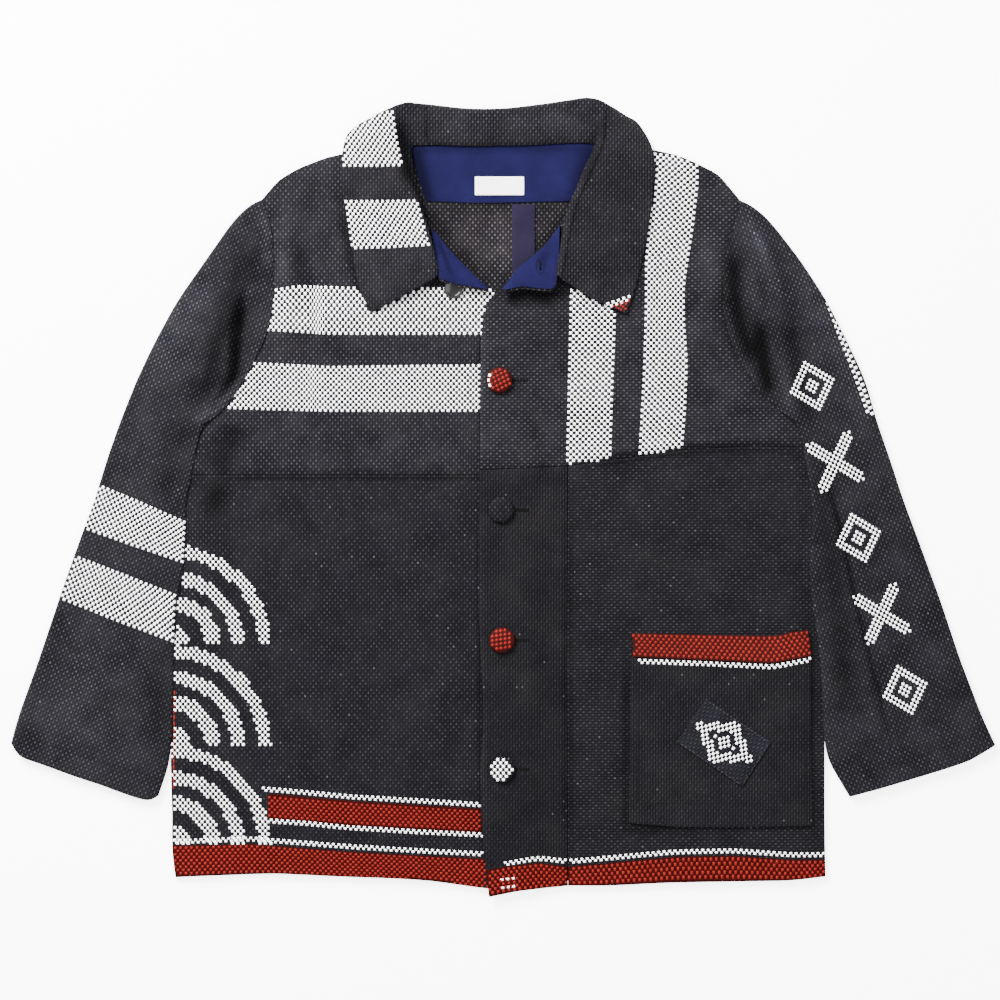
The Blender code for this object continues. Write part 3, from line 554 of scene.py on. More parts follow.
def collarSection(edge, bend, roll, seam):  # points from the free edge over the roll to the stand's foot
    edge, bend, roll, seam = (np.array(p, float) for p in (edge, bend, roll, seam))
    inward, outward = seam[:2] - roll[:2], roll[:2] - bend[:2]
    way = outward / np.linalg.norm(outward) + inward / np.linalg.norm(inward) * 0.5
    way = np.array([*(way / np.linalg.norm(way)), 0.0])
    outer = roll - way * collar["rollWidth"] - (0, 0, 1.7)
    inner = roll + way * 1.4 - (0, 0, 1.5)
    crest = roll - way * collar["rollWidth"] / 2 - (0, 0, 0.4)
    ahead = inward / np.linalg.norm(inward)
    open_ = np.clip((ahead @ outward / np.linalg.norm(outward) + 0.6) / 1.2, 0, 1)  # nought where the fall is tucked under
    face = np.array([*ahead, 0.0])
    rise = bend + (outer - bend) * 0.55
    tucked = [bend + (roll - bend) * 0.5, roll - (0, 0, 3.4), roll + face * 0.9 - (0, 0, 0.7), roll + face * 4.0]
    rise, outer, crest, inner = (a * open_ + b * (1 - open_) for a, b in zip((rise, outer, crest, inner), tucked))
    points = [edge, (edge + bend) / 2, bend, rise, outer, crest, inner]
    return np.array(points + [(inner + seam) / 2, seam])


def splined(points, fine):  # a smooth run through the first axis of points
    before = np.concatenate([[2 * points[0] - points[1]], points, [2 * points[-1] - points[-2]]])
    found = []
    for k in range(len(points) - 1):
        a, b, c, d = before[k : k + 4]
        for t in np.arange(fine) / fine:
            found.append(
                0.5 * (2 * b + (c - a) * t + (2 * a - 5 * b + 4 * c - d) * t**2 + (3 * b - a - 3 * c + d) * t**3)
            )
    return np.array(found + [points[-1]])


def collarPiece():
    sections = np.array([collarSection(*row) for row in collar["rows"]])
    surface = splined(sections, 7)
    surface = splined(surface.transpose(1, 0, 2), 5).transpose(1, 0, 2)
    lowest = cloth["collarWall"] / 2
    surface[..., 2] += rippled(surface[..., 0], surface[..., 1], 41, length=30, height=0.35)
    surface[..., 2] = np.maximum(surface[..., 2], lowest)
    bm = gridOver(spot(surface[..., 0], surface[..., 1], surface[..., 2]))
    piece = finishPiece("collarFall", bm, ["collar"])
    shell = piece.modifiers.new("Wall", "SOLIDIFY")
    shell.thickness = cloth["collarWall"] * mm
    shell.offset = 0
    shell.use_quality_normals = True
    rimSoftened(piece, 0.8)
    return grounded(piece)


corner = {
    "right": dict(
        fold=[(431, 228), (438, 235), (446, 246), (459, 260), (477, 278), (488, 288)],
        free=[(438, 270), (438.5, 279), (454, 284), (472, 287), (487, 290)],
        lift=6.2,
    ),
    "left": dict(
        fold=[(559.5, 226), (545, 246), (531, 258), (519, 267), (508, 282), (503, 288)],
        free=[(559, 254), (557, 279), (554, 290), (538, 289), (522, 287), (505, 291)],
        lift=6.0,
    ),
}


def cornerPieces(side, topHeight):  # a front's turned-back corner: its own cloth, and the facing on it
    facts = corner[side]
    share = np.linspace(0, 1, 18)[:, None]
    lift = cloth["lying"] + (facts["lift"] - cloth["lying"]) * np.sin(share * math.pi / 2)
    made = []
    layers = [
        ("cornerCloth", "corner_", "charcoal_weave", cloth["cornerWall"], 0.0, 2.3),
        ("cornerFacing", "facing_", "blue_cotton", cloth["facingWall"], cloth["cornerWall"] + cloth["gap"], 0.0),
    ]
    for name, prefix, slot, wall, above, peek in layers:
        fold = stretched(24, facts["fold"])
        free = stretched(24, [(r, d + peek * (d > 272)) for r, d in facts["free"]])
        right = fold[None, :, 0] + (free[None, :, 0] - fold[None, :, 0]) * share
        down = fold[None, :, 1] + (free[None, :, 1] - fold[None, :, 1]) * share
        up = topHeight(right, down) + lift + above + wall
        bm = gridOver(spot(right, down, up))
        under = bmesh.ops.extrude_face_region(bm, geom=bm.faces[:], use_keep_orig=True)["geom"]
        under = [part for part in under if isinstance(part, bmesh.types.BMVert)]
        bmesh.ops.translate(bm, verts=under, vec=(0, 0, -wall * mm))
        bmesh.ops.recalc_face_normals(bm, faces=bm.faces[:])
        piece = finishPiece(name + side.capitalize(), bm, [prefix + side])
        made.append(rimSoftened(piece, 0.35))
    return made


pocket = {
    "left": [(631, 657.5), (630, 740), (629, 823)],
    "right": [(811, 656.5), (811, 740), (812, 826)],
    "top": [(631, 657.5), (700, 660.5), (772, 664), (791, 660.5), (811, 656.5)],
    "bottom": [(629, 823), (676, 827), (750, 827), (812, 826)],
    "bandLeft": [(632, 633), (633, 645), (633, 657)],
    "bandRight": [(808, 630), (810, 643), (811, 656)],
    "bandTop": [(632, 633), (696, 634.4), (753, 635.6), (778, 635.6), (791, 631.6), (808, 630)],
    "bandBottom": [(633, 657), (700, 660), (772, 663.5), (791, 660), (811, 656)],
    "patch": [(706, 698), (771, 742), (742, 787), (676, 742)],
}


def pocketTop(right, down):
    return frontLeftTop(right, down) + cloth["lying"] + cloth["wall"]


def pocketPieces():
    made = [
        panel("pocketCloth", {side: [pocket[side]] for side in ("left", "right", "top", "bottom")},
              pocketTop, cloth["wall"], "pocket"),
        panel("pocketBand", dict(left=[pocket["bandLeft"]], right=[pocket["bandRight"]],
                                 top=[pocket["bandTop"]], bottom=[pocket["bandBottom"]]),
              pocketTop, cloth["wall"], "pocket_band"),
    ]
    first, second, third, fourth = pocket["patch"]
    patch = panel(
        "pocketPatch", dict(top=[[first, second]], bottom=[[fourth, third]], left=[[first, fourth]], right=[[second, third]]),
        lambda r, d: pocketTop(r, d) + cloth["gap"] + cloth["patchWall"], cloth["patchWall"], "patch",
    )
    return [*made, patch]


neck = {
    "left": [(409, 146), (418, 178), (426, 201)],
    "right": [(599, 142), (589, 172), (575, 201)],
    "top": [(409, 146), (479, 145), (540, 144), (599, 142)],
    "bottom": [(426, 201), (479, 203), (530, 202), (575, 201)],
    "label": [(475, 176.5), (524, 176.5), (524, 195), (475, 195)],
    "tape": [(512, 204), (535, 204), (535, 872), (512, 872)],
}


def cornered(points):
    first, second, third, fourth = points
    return dict(top=[[first, second]], bottom=[[fourth, third]], left=[[first, fourth]], right=[[second, third]])


def facingTop(right, down):
    return backTop(right, down) + cloth["gap"] + cloth["facingWall"]


def neckPieces():
    facing = panel("neckFacing", {side: [neck[side]] for side in ("left", "right", "top", "bottom")},
                   facingTop, cloth["facingWall"], "neck_facing")
    label = panel("neckLabel", cornered(neck["label"]),
                  lambda r, d: facingTop(r, d) + cloth["gap"] + cloth["labelWall"],
                  cloth["labelWall"], "neck_label", spacing=2.5)
    tape = panel("backTape", cornered(neck["tape"]),
                 lambda r, d: backTop(r, d) + cloth["lying"] + cloth["tapeWall"],
                 cloth["tapeWall"], "back_tape", spacing=6.0)
    return facing, label, tape


button = {
    "front": [("button1", "button_1", 499.5, 380.5), ("button2", "button_2", 501, 510),
              ("button3", "button_3", 502, 640), ("button4", "button_4", 502, 769)],
    "radius": 13.0,
    "height": 6.0,
    "top": (453.5, 289.0),
    "topRadius": 9.5,
    "slots": {"button1": "red_weave", "button2": "charcoal_weave", "button3": "red_weave", "button4": "white_weave"},
}


def turned(name, profile, centre, node, steps=48):
    bm = bmesh.new()
    points = [bm.verts.new((across * mm, 0, up * mm)) for across, up in profile]
    edges = [bm.edges.new(pair) for pair in zip(points, points[1:])]
    bmesh.ops.spin(
        bm, geom=points + edges, cent=(0, 0, 0), axis=(0, 0, 1), angle=math.tau, steps=steps, use_merge=True,
    )
    bmesh.ops.remove_doubles(bm, verts=bm.verts[:], dist=1e-6)
    bmesh.ops.recalc_face_normals(bm, faces=bm.faces[:])
    bmesh.ops.translate(bm, verts=bm.verts[:], vec=centre)
    return finishPiece(name, bm, [node])


def buttonPieces():
    made = []
    radius, height = button["radius"], button["height"]
    shape = [(0, 1.0), (0.25, 0.985), (0.5, 0.93), (0.7, 0.85), (0.85, 0.74), (0.94, 0.6), (0.99, 0.45),
             (1.0, 0.33), (0.985, 0.2), (0.94, 0.1), (0.86, 0.04), (0.7, 0.0), (0, 0)]
    for name, node, right, down in button["front"]:
        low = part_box(node)[0].z
        centre = (*spot(right, down, 0.0)[:2], low)
        profile = [(a * radius, b * height) for a, b in shape]
        made.append(turned(name, profile, centre, node))
    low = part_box("button_top")[0].z
    radius = button["topRadius"]
    profile = [(0, 2.3), (0.5, 2.4), (0.74, 2.9), (0.86, 3.35), (0.95, 3.2), (1.0, 2.4), (1.0, 1.2), (0.93, 0.3),
               (0.8, 0), (0, 0)]
    profile = [(a * radius, b) for a, b in profile]
    made.append(turned("buttonTop", profile, (*spot(*button["top"], 0.0)[:2], low), "button_top"))
    return made


print("cloth")
back, rightUpper, rightLower, leftUpper, leftCentre, leftSide = bodyPanels()
sleeveRight, sleeveLeft = sleevePieces()
collarFall = collarPiece()
cornerRight, facingRight = cornerPieces("right", frontRightTop)
cornerLeft, facingLeft = cornerPieces("left", frontLeftTop)
pocketCloth, pocketBand, pocketPatch = pocketPieces()
neckFacing, neckLabel, backTape = neckPieces()
print("buttons")
buttons = buttonPieces()


class Value:  # a socket of a shader tree, with the sums that the materials use
    def __init__(self, tree, socket):
        self.tree, self.socket = tree, socket

    def sum(self, operation, *others):
        node = self.tree.nodes.new("ShaderNodeMath")
        node.operation = operation
        for place, part in zip(node.inputs, others):
            if isinstance(part, Value):
                self.tree.links.new(part.socket, place)
            else:
                place.default_value = part
        return Value(self.tree, node.outputs[0])

    def __add__(self, other):
        return self.sum("ADD", self, other)

    def __sub__(self, other):
        return self.sum("SUBTRACT", self, other)

    def __mul__(self, other):
        return self.sum("MULTIPLY", self, other)

    def __truediv__(self, other):
        return self.sum("DIVIDE", self, other)

    def __pow__(self, other):
        return self.sum("POWER", self, other)

    def __radd__(self, other):
        return self.sum("ADD", other, self)

    def __rsub__(self, other):
        return self.sum("SUBTRACT", other, self)

    def __rmul__(self, other):
        return self.sum("MULTIPLY", other, self)

    def __gt__(self, other):
        return self.sum("GREATER_THAN", self, other)

    def cos(self):
        return self.sum("COSINE", self)

    def floor(self):
        return self.sum("FLOOR", self)

    def clamped(self, low=0.0, high=1.0):
        return self.sum("MINIMUM", self.sum("MAXIMUM", self, low), high)


class Finish:  # one material being built
    def __init__(self, name, roughness=0.85, sheen=0.0, specular=0.3):
        self.material = bpy.data.materials.new(name)
        self.material.use_nodes = True
        self.tree = self.material.node_tree
        self.shader = self.tree.nodes["Principled BSDF"]
        self.shader.inputs["Roughness"].default_value = roughness
        self.shader.inputs["Sheen Weight"].default_value = sheen
        self.shader.inputs["Specular IOR Level"].default_value = specular

    def node(self, kind, settings=None, **values):
        node = self.tree.nodes.new(kind)
        for name, setting in (settings or {}).items():
            setattr(node, name, setting)
        for name, value in values.items():
            socket = next(s for s in node.inputs if s.identifier == name or s.name.replace(" ", "") == name)
            if isinstance(value, Value):
                self.tree.links.new(value.socket, socket)
            else:
                socket.default_value = value
        return node

    def output(self, node, name=0):
        return Value(self.tree, node.outputs[name])

    def place(self, turn=0.0):  # object coordinates turned about +Z, as x, y and z
        source = self.output(self.node("ShaderNodeTexCoord"), "Object")
        mapped = self.node("ShaderNodeMapping", Vector=source)
        mapped.inputs["Rotation"].default_value = (0, 0, math.radians(turn))
        vector = self.output(mapped)
        parts = self.node("ShaderNodeSeparateXYZ", Vector=vector)
        return vector, self.output(parts, "X"), self.output(parts, "Y"), self.output(parts, "Z")

    def noise(self, vector, scale, detail=2.0, roughness=0.5):
        return self.output(
            self.node("ShaderNodeTexNoise", Vector=vector, Scale=scale, Detail=detail, Roughness=roughness)
        )

    def random(self, x, y):
        cell = self.output(self.node("ShaderNodeCombineXYZ", X=x, Y=y))
        return self.output(self.node("ShaderNodeTexWhiteNoise", {"noise_dimensions": "2D"}, Vector=cell))

    def mix(self, share, first, second):
        node = self.node("ShaderNodeMix", {"data_type": "RGBA"})
        for name, value in (("Factor_Float", share), ("A_Color", first), ("B_Color", second)):
            socket = next(s for s in node.inputs if s.identifier == name)
            if isinstance(value, Value):
                self.tree.links.new(value.socket, socket)
            else:
                socket.default_value = value if name == "Factor_Float" else (*value, 1)
        return Value(self.tree, next(s for s in node.outputs if s.identifier == "Result_Color"))

    def shaded(self, value):  # the colour, darker where shade is painted into hollows and paler where light is painted onto crests
        shade = self.output(self.node("ShaderNodeAttribute", {"attribute_name": "foldShade"}), "Fac")
        factor = (shade + 1.0).clamped(0.12, 1.9)
        return self.output(self.node("ShaderNodeVectorMath", {"operation": "SCALE"}, Vector=value, Scale=factor))

    def colour(self, value):
        self.tree.links.new(self.shaded(value).socket, self.shader.inputs["Base Color"])

    def bump(self, height, distance, strength=1.0):
        node = self.node("ShaderNodeBump", Height=height, Distance=distance, Strength=strength)
        self.tree.links.new(node.outputs["Normal"], self.shader.inputs["Normal"])


weave = {
    "dark": (0.0052, 0.0050, 0.0062),
    "deep": (0.0020, 0.0019, 0.0026),
    "speck": (0.017, 0.0165, 0.0195),
    "brown": (0.0080, 0.0071, 0.0066),
    "fleck": (0.036, 0.036, 0.038),
}


def charcoalCloth(name, turn=0.0, ribs=0.35, specks=1.0, dark=None, speck=None, red=False):
    finish = Finish(name, roughness=0.95, sheen=0.0, specular=0.03)
    vector, x, y, z = finish.place(turn)
    a, b = x / (cloth["stitchAcross"] * mm), y / (cloth["stitchAlong"] * mm)
    quincunx = (a * math.tau).cos() * (b * math.tau).cos()
    pick = (quincunx - 0.35).clamped() * 1.5
    chance = finish.random((a + b + 0.5).floor(), (a - b + 0.5).floor())
    cloudy = finish.noise(vector, 38.0, 3.0)
    fibre = finish.noise(vector, 900.0, 2.0, 0.7)
    rib = (x * (math.tau / (cloth["stitchAcross"] * mm / 2))).cos() * 0.5 + 0.5
    shade = (cloudy - 0.3) * 1.1 + rib * ribs * 0.5 + fibre * 0.35 - 0.2
    base = finish.mix(shade.clamped(), weave["deep"], dark or weave["dark"])
    brown = (finish.noise(vector, 21.0, 2.0) * 3.0 - 1.0).clamped()
    base = finish.mix(brown * 0.55, base, finish.mix(shade.clamped(), weave["deep"], weave["brown"]))
    bright = (pick * (chance**1.6 * 0.95 + 0.3) * specks).clamped()
    base = finish.mix(bright, base, speck or weave["speck"])
    flecks = pick * (chance > 0.9955)
    base = finish.mix(flecks.clamped(), base, weave["fleck"])
    if red:
        depth = finish.output(finish.node("ShaderNodeAttribute", {"attribute_name": "redDepth"}), "Fac")
        redBase = finish.mix((cloudy - 0.2).clamped(), (0.010, 0.0006, 0.0005), (0.020, 0.0009, 0.0007))
        base = finish.mix((depth + 0.5).clamped(), base, redBase)
    finish.colour(base)
    finish.bump(quincunx * 0.5 + rib * ribs + fibre * 0.5, 0.0009, 0.9)
    return finish.material


def plainCotton(name, colour, shade, turn=0.0, thread=0.0007, depth=0.0002):
    finish = Finish(name, roughness=0.9, sheen=0.0, specular=0.03)
    vector, x, y, z = finish.place(turn)
    warp = (x * (math.tau / thread)).cos() * (y * (math.tau / thread)).cos()
    cloudy = finish.noise(vector, 45.0, 3.0)
    fine = finish.noise(vector, 700.0, 2.0)
    share = ((cloudy - 0.35) * 1.4 + (fine - 0.5) * 0.5 + warp * 0.12).clamped()
    finish.colour(finish.mix(share, shade, colour))
    finish.bump(warp + fine, depth, 0.8)
    return finish.material


def thread(name, bright, shade, roughness=0.8):
    finish = Finish(name, roughness=roughness, sheen=0.0, specular=0.05)
    vector, x, y, z = finish.place()
    strands = finish.noise(vector, 1500.0, 2.0)
    cloudy = finish.noise(vector, 120.0, 1.0)
    share = ((strands - 0.3) * 0.9 + (cloudy - 0.5) * 0.8 + 0.2).clamped()
    finish.colour(finish.mix(share, shade, bright))
    finish.bump(strands, 0.0003, 0.6)
    return finish.material


def dress(piece, material):
    piece.data.materials.clear()
    piece.data.materials.append(material)


print("materials")
sleeveTilt = 18.6
acrossCloth = charcoalCloth("charcoalAcross")
ribbedCloth = charcoalCloth("charcoalRibbed", ribs=0.9, specks=0.6)
worn = dict(dark=(0.0098, 0.0094, 0.0113), speck=(0.0205, 0.0200, 0.0240))
wing = dict(dark=(0.0080, 0.0077, 0.0093), speck=(0.0165, 0.0160, 0.0190))
dress(rightUpper, charcoalCloth("charcoalYoke", specks=1.3, **worn))
dress(rightLower, charcoalCloth("charcoalHemmed", red=True))
dress(leftUpper, charcoalCloth("charcoalTurned", turn=90, specks=1.5, **worn))
dress(leftSide, charcoalCloth("charcoalSide", turn=90, ribs=0.5, red=True))
dress(leftCentre, charcoalCloth("charcoalPlacket", ribs=0.9, specks=0.5, dark=(0.0040, 0.0038, 0.0048), red=True))
dress(pocketCloth, ribbedCloth)
dress(pocketPatch, charcoalCloth("charcoalPatch", turn=56, specks=0.7, dark=(0.0088, 0.0086, 0.0118)))
dress(sleeveRight, charcoalCloth("charcoalSleeveRight", turn=sleeveTilt, ribs=0.5, specks=1.3, **worn))
dress(sleeveLeft, charcoalCloth("charcoalSleeveLeft", turn=-sleeveTilt, ribs=0.5, specks=1.3, **worn))
dress(collarFall, charcoalCloth("charcoalCollar", ribs=0.7, specks=1.2, **wing))
insideCloth = charcoalCloth("charcoalInside", ribs=0.3, specks=1.6, dark=(0.0125, 0.0110, 0.0118), speck=(0.031, 0.028, 0.029))
dress(back, insideCloth)
for piece in (cornerRight, cornerLeft):
    dress(piece, insideCloth)
blue = plainCotton("blueCotton", (0.0060, 0.0050, 0.030), (0.0034, 0.0029, 0.017))
for piece in (facingRight, facingLeft, neckFacing):
    dress(piece, blue)
dress(neckLabel, plainCotton("labelCloth", (0.9, 0.9, 0.88), (0.78, 0.78, 0.76)))
dress(backTape, plainCotton("tapeCloth", (0.0138, 0.0104, 0.025), (0.0084, 0.0063, 0.0155), depth=0.0004))
redCloth = thread("redCloth", (0.016, 0.0008, 0.0006), (0.008, 0.0005, 0.0004))
dress(pocketBand, redCloth)
for piece, material in zip(buttons[:4], (redCloth, acrossCloth, redCloth, acrossCloth)):
    dress(piece, material)
gloss = Finish("buttonGloss", roughness=0.16, specular=0.3)
gloss.shader.inputs["Base Color"].default_value = (0.0022, 0.002, 0.0024, 1)
dress(buttons[4], gloss.material)


stitch = {
    "sides": 8,
    "rings": 3,
    "across": 0.269,  # half width of a stitch, as a share of the repeat
    "along": 0.252,
    "square": 1.4,  # how far its corners stand out of a circle
    "rise": 0.8,  # height above the cloth
    "sink": 0.2,
    "reach": 1.2,  # a stitch stays this far inside its cloth
}

depsgraph = bpy.context.evaluated_depsgraph_get()
surfaces = {
    piece.name: BVHTree.FromObject(piece, depsgraph)
    for piece in (rightUpper, rightLower, leftUpper, leftCentre, leftSide, sleeveRight, sleeveLeft, collarFall,
                  cornerRight, cornerLeft, facingRight, facingLeft, pocketCloth, pocketBand, pocketPatch,
                  neckLabel, *buttons[:4])
}
above = {  # what may cover a piece
    "frontRightUpper": ("frontLeftUpper", "collarFall", "cornerFacingRight", "cornerFacingLeft", "sleeveRight"),
    "frontRightLower": ("frontLeftCentre", "sleeveRight"),
    "frontLeftUpper": ("collarFall", "cornerFacingLeft", "sleeveLeft"),
    "frontLeftCentre": (),
    "frontLeftSide": ("pocketCloth", "pocketBand", "sleeveLeft"),
    "pocketCloth": ("pocketPatch", "pocketBand"),
    "sleeveRight": ("frontRightLower",),
    "sleeveLeft": ("frontLeftSide",),
}
sky, straightDown = 0.2, Vector((0, 0, -1))


def touching(piece, point):  # where a plumb line meets the top of a piece, and its normal there
    place, normal, _, _ = surfaces[piece].ray_cast(Vector((point[0], point[1], sky)), straightDown)
    return (place, normal) if place is not None and normal.z > 0.15 else (None, None)


def seen(piece, point, height):
    for cover in above.get(piece, ()):
        place, _ = touching(cover, point)
        if place is not None and place.z > height:
            return False
    return True


def repeated(count):  # a mesh of this many stitches, all in one place
    bm = bmesh.new()
    bmesh.ops.create_uvsphere(bm, u_segments=stitch["sides"], v_segments=stitch["rings"], radius=1.0)
    for vert in bm.verts:
        if abs(vert.co.x) > 0.1 and abs(vert.co.y) > 0.1:
            vert.co.xy *= stitch["square"]
    single = bpy.data.meshes.new("singleStitch")
    bm.to_mesh(single)
    bm.free()
    bm = bmesh.new()
    bm.from_mesh(single)  # packed anew, so that the copies keep its order
    bpy.data.meshes.remove(single)
    size, made = len(bm.verts), 1
    while made < count:
        bmesh.ops.duplicate(bm, geom=bm.verts[:] + bm.edges[:] + bm.faces[:])
        made *= 2
    bm.verts.ensure_lookup_table()
    bmesh.ops.delete(bm, geom=bm.verts[count * size :], context="VERTS")
    return bm


def sewStitches(name, piece, marks, material, rise=None, fill=1.0):
    frames = []
    draws = random.Random(name)
    for right, down, runRight, runDown, across, along_ in marks:
        point = spot(right, down, 0.0)
        place, normal = touching(piece.name, point)
        if place is None or not seen(piece.name, point, place.z):
            continue
        run = Vector((runRight, -runDown, 0)).normalized()
        side = Vector((-run.y, run.x, 0))
        reach = [point + np.array(way) * stitch["reach"] * mm for way in (run, -run, side, -side)]
        if any(touching(piece.name, other)[0] is None for other in reach):
            continue
        side = normal.cross(run).normalized()
        run = side.cross(normal)
        wide = across * stitch["across"] * fill * draws.uniform(0.93, 1.07) * mm
        long = along_ * stitch["along"] * fill * draws.uniform(0.93, 1.07) * mm
        high = (rise or stitch["rise"]) * draws.uniform(0.85, 1.15) * mm
        middle = place - normal * stitch["sink"] * mm
        frames.append([run * wide, side * long, normal * high, middle])
    piece = finishPiece(name, repeated(len(frames)), ())
    mesh = piece.data
    corners = np.empty(len(mesh.vertices) * 3)
    mesh.vertices.foreach_get("co", corners)
    corners = corners.reshape(len(frames), -1, 3)
    frames = np.array(frames)  # each stitch's own three axes, and its middle
    laid = np.einsum("nvk,nkx->nvx", corners, frames[:, :3]) + frames[:, None, 3]
    mesh.vertices.foreach_set("co", laid.ravel())
    mesh.update()
    dress(piece, material)
    print(name, len(frames))
    return piece


shades = {  # painted shade in hollows, seams and under the collar, below nought, and painted light on crests, above it
    "sleeveRight": [
        dict(route=[(250, 224), (250, 256), (234, 290), (222, 330), (212, 380), (192, 416)], rise=-0.62, reach=13),
        dict(route=[(244, 296), (239, 338), (236, 372), (224, 396)], rise=-0.75, reach=6),
        dict(route=[(238, 386), (216, 408), (190, 424)], rise=0.6, reach=4),
        dict(route=[(259, 206), (267, 232), (266, 258), (249, 292), (240, 312)], rise=0.75, reach=5),
        dict(route=[(206, 275), (180, 325), (160, 380)], rise=0.5, reach=16),
        dict(route=[(200, 424), (172, 446), (160, 500)], rise=-0.3, reach=14),
        dict(route=[(168, 560), (160, 680), (156, 780)], rise=-0.3, reach=12),
        dict(route=[(96, 640), (70, 720), (60, 760)], rise=0.25, reach=26),
    ],
    "sleeveLeft": [
        dict(route=[(744, 216), (760, 244), (770, 270), (782, 300)], rise=0.8, reach=6),
        dict(route=[(733, 246), (735, 300), (744, 336), (758, 370)], rise=-0.8, reach=9),
        dict(route=[(758, 316), (764, 356), (770, 402)], rise=-0.9, reach=8),
        dict(route=[(790, 310), (797, 356), (806, 420)], rise=-0.45, reach=12),
        dict(route=[(778, 330), (784, 370), (790, 410)], rise=0.4, reach=5),
        dict(route=[(796, 262), (822, 306), (846, 360), (868, 424)], rise=0.55, reach=11),
        dict(route=[(818, 440), (830, 540), (842, 640), (850, 740)], rise=-0.45, reach=13),
        dict(route=[(824, 470), (844, 540), (856, 601), (881, 702), (893, 752)], rise=-0.6, reach=2.4),
    ],
    "frontRightUpper": [
        dict(route=[(296, 236), (302, 282), (306, 330)], rise=-0.4, reach=8),
        dict(route=[(284, 210), (280, 250), (284, 290)], rise=0.4, reach=9),
        dict(route=[(240, 424), (226, 446), (214, 474)], rise=-0.6, reach=14),
        dict(route=[(338, 204), (352, 262), (364, 300), (372, 318)], rise=-0.5, reach=6),
        dict(route=[(484, 300), (481, 340), (480, 470)], rise=-0.5, reach=3),
    ],
    "frontRightLower": [
        dict(route=[(216, 478), (212, 520)], rise=-0.45, reach=13),
        dict(route=[(193, 478), (520, 478)], rise=-0.6, reach=2.2),
        dict(route=[(479, 480), (480, 620), (480, 760), (486, 880)], rise=-0.5, reach=3),
    ],
    "frontLeftUpper": [
        dict(route=[(718, 196), (714, 250), (716, 300)], rise=0.45, reach=9),
        dict(route=[(728, 244), (724, 292), (730, 334), (748, 368), (774, 400)], rise=-0.5, reach=6),
        dict(route=[(566, 462), (640, 452), (690, 446), (800, 444)], rise=-0.55, reach=2.4),
        dict(route=[(500, 300), (530, 296), (560, 300)], rise=-0.75, reach=9),
        dict(route=[(560, 262), (566, 290), (590, 302)], rise=-0.6, reach=7),
        dict(route=[(652, 200), (648, 256), (640, 300)], rise=-0.45, reach=4),
        dict(route=[(484, 312), (483, 340), (482, 400), (482, 466)], rise=0.35, reach=4),
    ],
    "frontLeftSide": [
        dict(route=[(570, 470), (640, 459), (700, 451), (800, 450)], rise=-0.6, reach=2.4),
        dict(route=[(570, 480), (570, 640), (571, 880)], rise=-0.45, reach=2.4),
        dict(route=[(626, 640), (625, 830), (700, 832)], rise=-0.5, reach=4),
        dict(route=[(808, 470), (812, 520), (808, 580)], rise=0.3, reach=7),
    ],
    "frontLeftCentre": [
        dict(route=[(482, 480), (480, 620), (482, 760), (488, 880)], rise=0.35, reach=4),
        dict(route=[(566, 480), (565, 640), (566, 880)], rise=-0.4, reach=2.4),
    ],
    "collarFall": [
        dict(route=[(399, 118), (402, 146), (410, 190)], rise=-0.75, reach=9),
        dict(route=[(598, 116), (594, 150), (584, 180)], rise=-0.45, reach=6),
        dict(route=[(426.5, 104), (426.5, 146)], rise=-0.7, reach=1.2),
        dict(route=[(410, 148), (500, 147), (590, 146)], rise=-0.5, reach=5),
        dict(route=[(372, 260), (380, 300)], rise=0.3, reach=4),
        dict(route=[(624, 150), (616, 210), (606, 270)], rise=-0.12, reach=16),
        dict(route=[(430, 122), (500, 120), (590, 122)], rise=0.42, reach=13),
    ],
    "neckFacing": [
        dict(route=[(412, 140), (420, 172), (430, 208)], rise=-0.72, reach=9),
        dict(route=[(594, 140), (586, 172), (574, 208)], rise=-0.5, reach=10),
        dict(route=[(412, 149), (500, 149), (590, 148)], rise=-0.35, reach=4),
    ],
    "backPanel": [
        dict(route=[(426, 204), (440, 228), (462, 256), (490, 288)], rise=-0.5, reach=8),
        dict(route=[(574, 206), (556, 234), (530, 256), (498, 288)], rise=-0.45, reach=8),
        dict(route=[(428, 206), (500, 207), (572, 205)], rise=-0.45, reach=3),
        dict(route=[(500, 208), (502, 250), (498, 286)], rise=0.35, reach=10),
    ],
    "cornerFacingRight": [dict(route=[(437, 236), (446, 262), (452, 276)], rise=-0.45, reach=2.4)],
    "cornerFacingLeft": [dict(route=[(546, 250), (541, 268)], rise=-0.35, reach=5)],
}


# each vertex keeps its painted shade and painted light as the foldShade attribute
def markShade(piece):
    mesh = piece.data
    place = np.empty(len(mesh.vertices) * 3)
    mesh.vertices.foreach_get("co", place)
    right, down = board(place.reshape(-1, 3))
    mark = mesh.attributes.new("foldShade", "FLOAT", "POINT")
    mark.data.foreach_set("value", foldsAt(shades[piece.name], right, down).astype(np.float32))


for piece in (sleeveRight, sleeveLeft, rightUpper, rightLower, leftUpper, leftSide, leftCentre, collarFall, neckFacing,
              back, facingRight, facingLeft):
    markShade(piece)


def squeezed(steps, length, places):  # shares along a run where folds draw the stitches together
    at = np.linspace(0, length, 400)
    density = np.ones(400) + sum(extra * np.exp(-(((at - middle) / reach) ** 2)) for middle, extra, reach in places)
    passed = np.concatenate([[0], np.cumsum((density[1:] + density[:-1]) / 2)])
    return np.interp(np.linspace(0, passed[-1], steps + 1), passed, at) / length


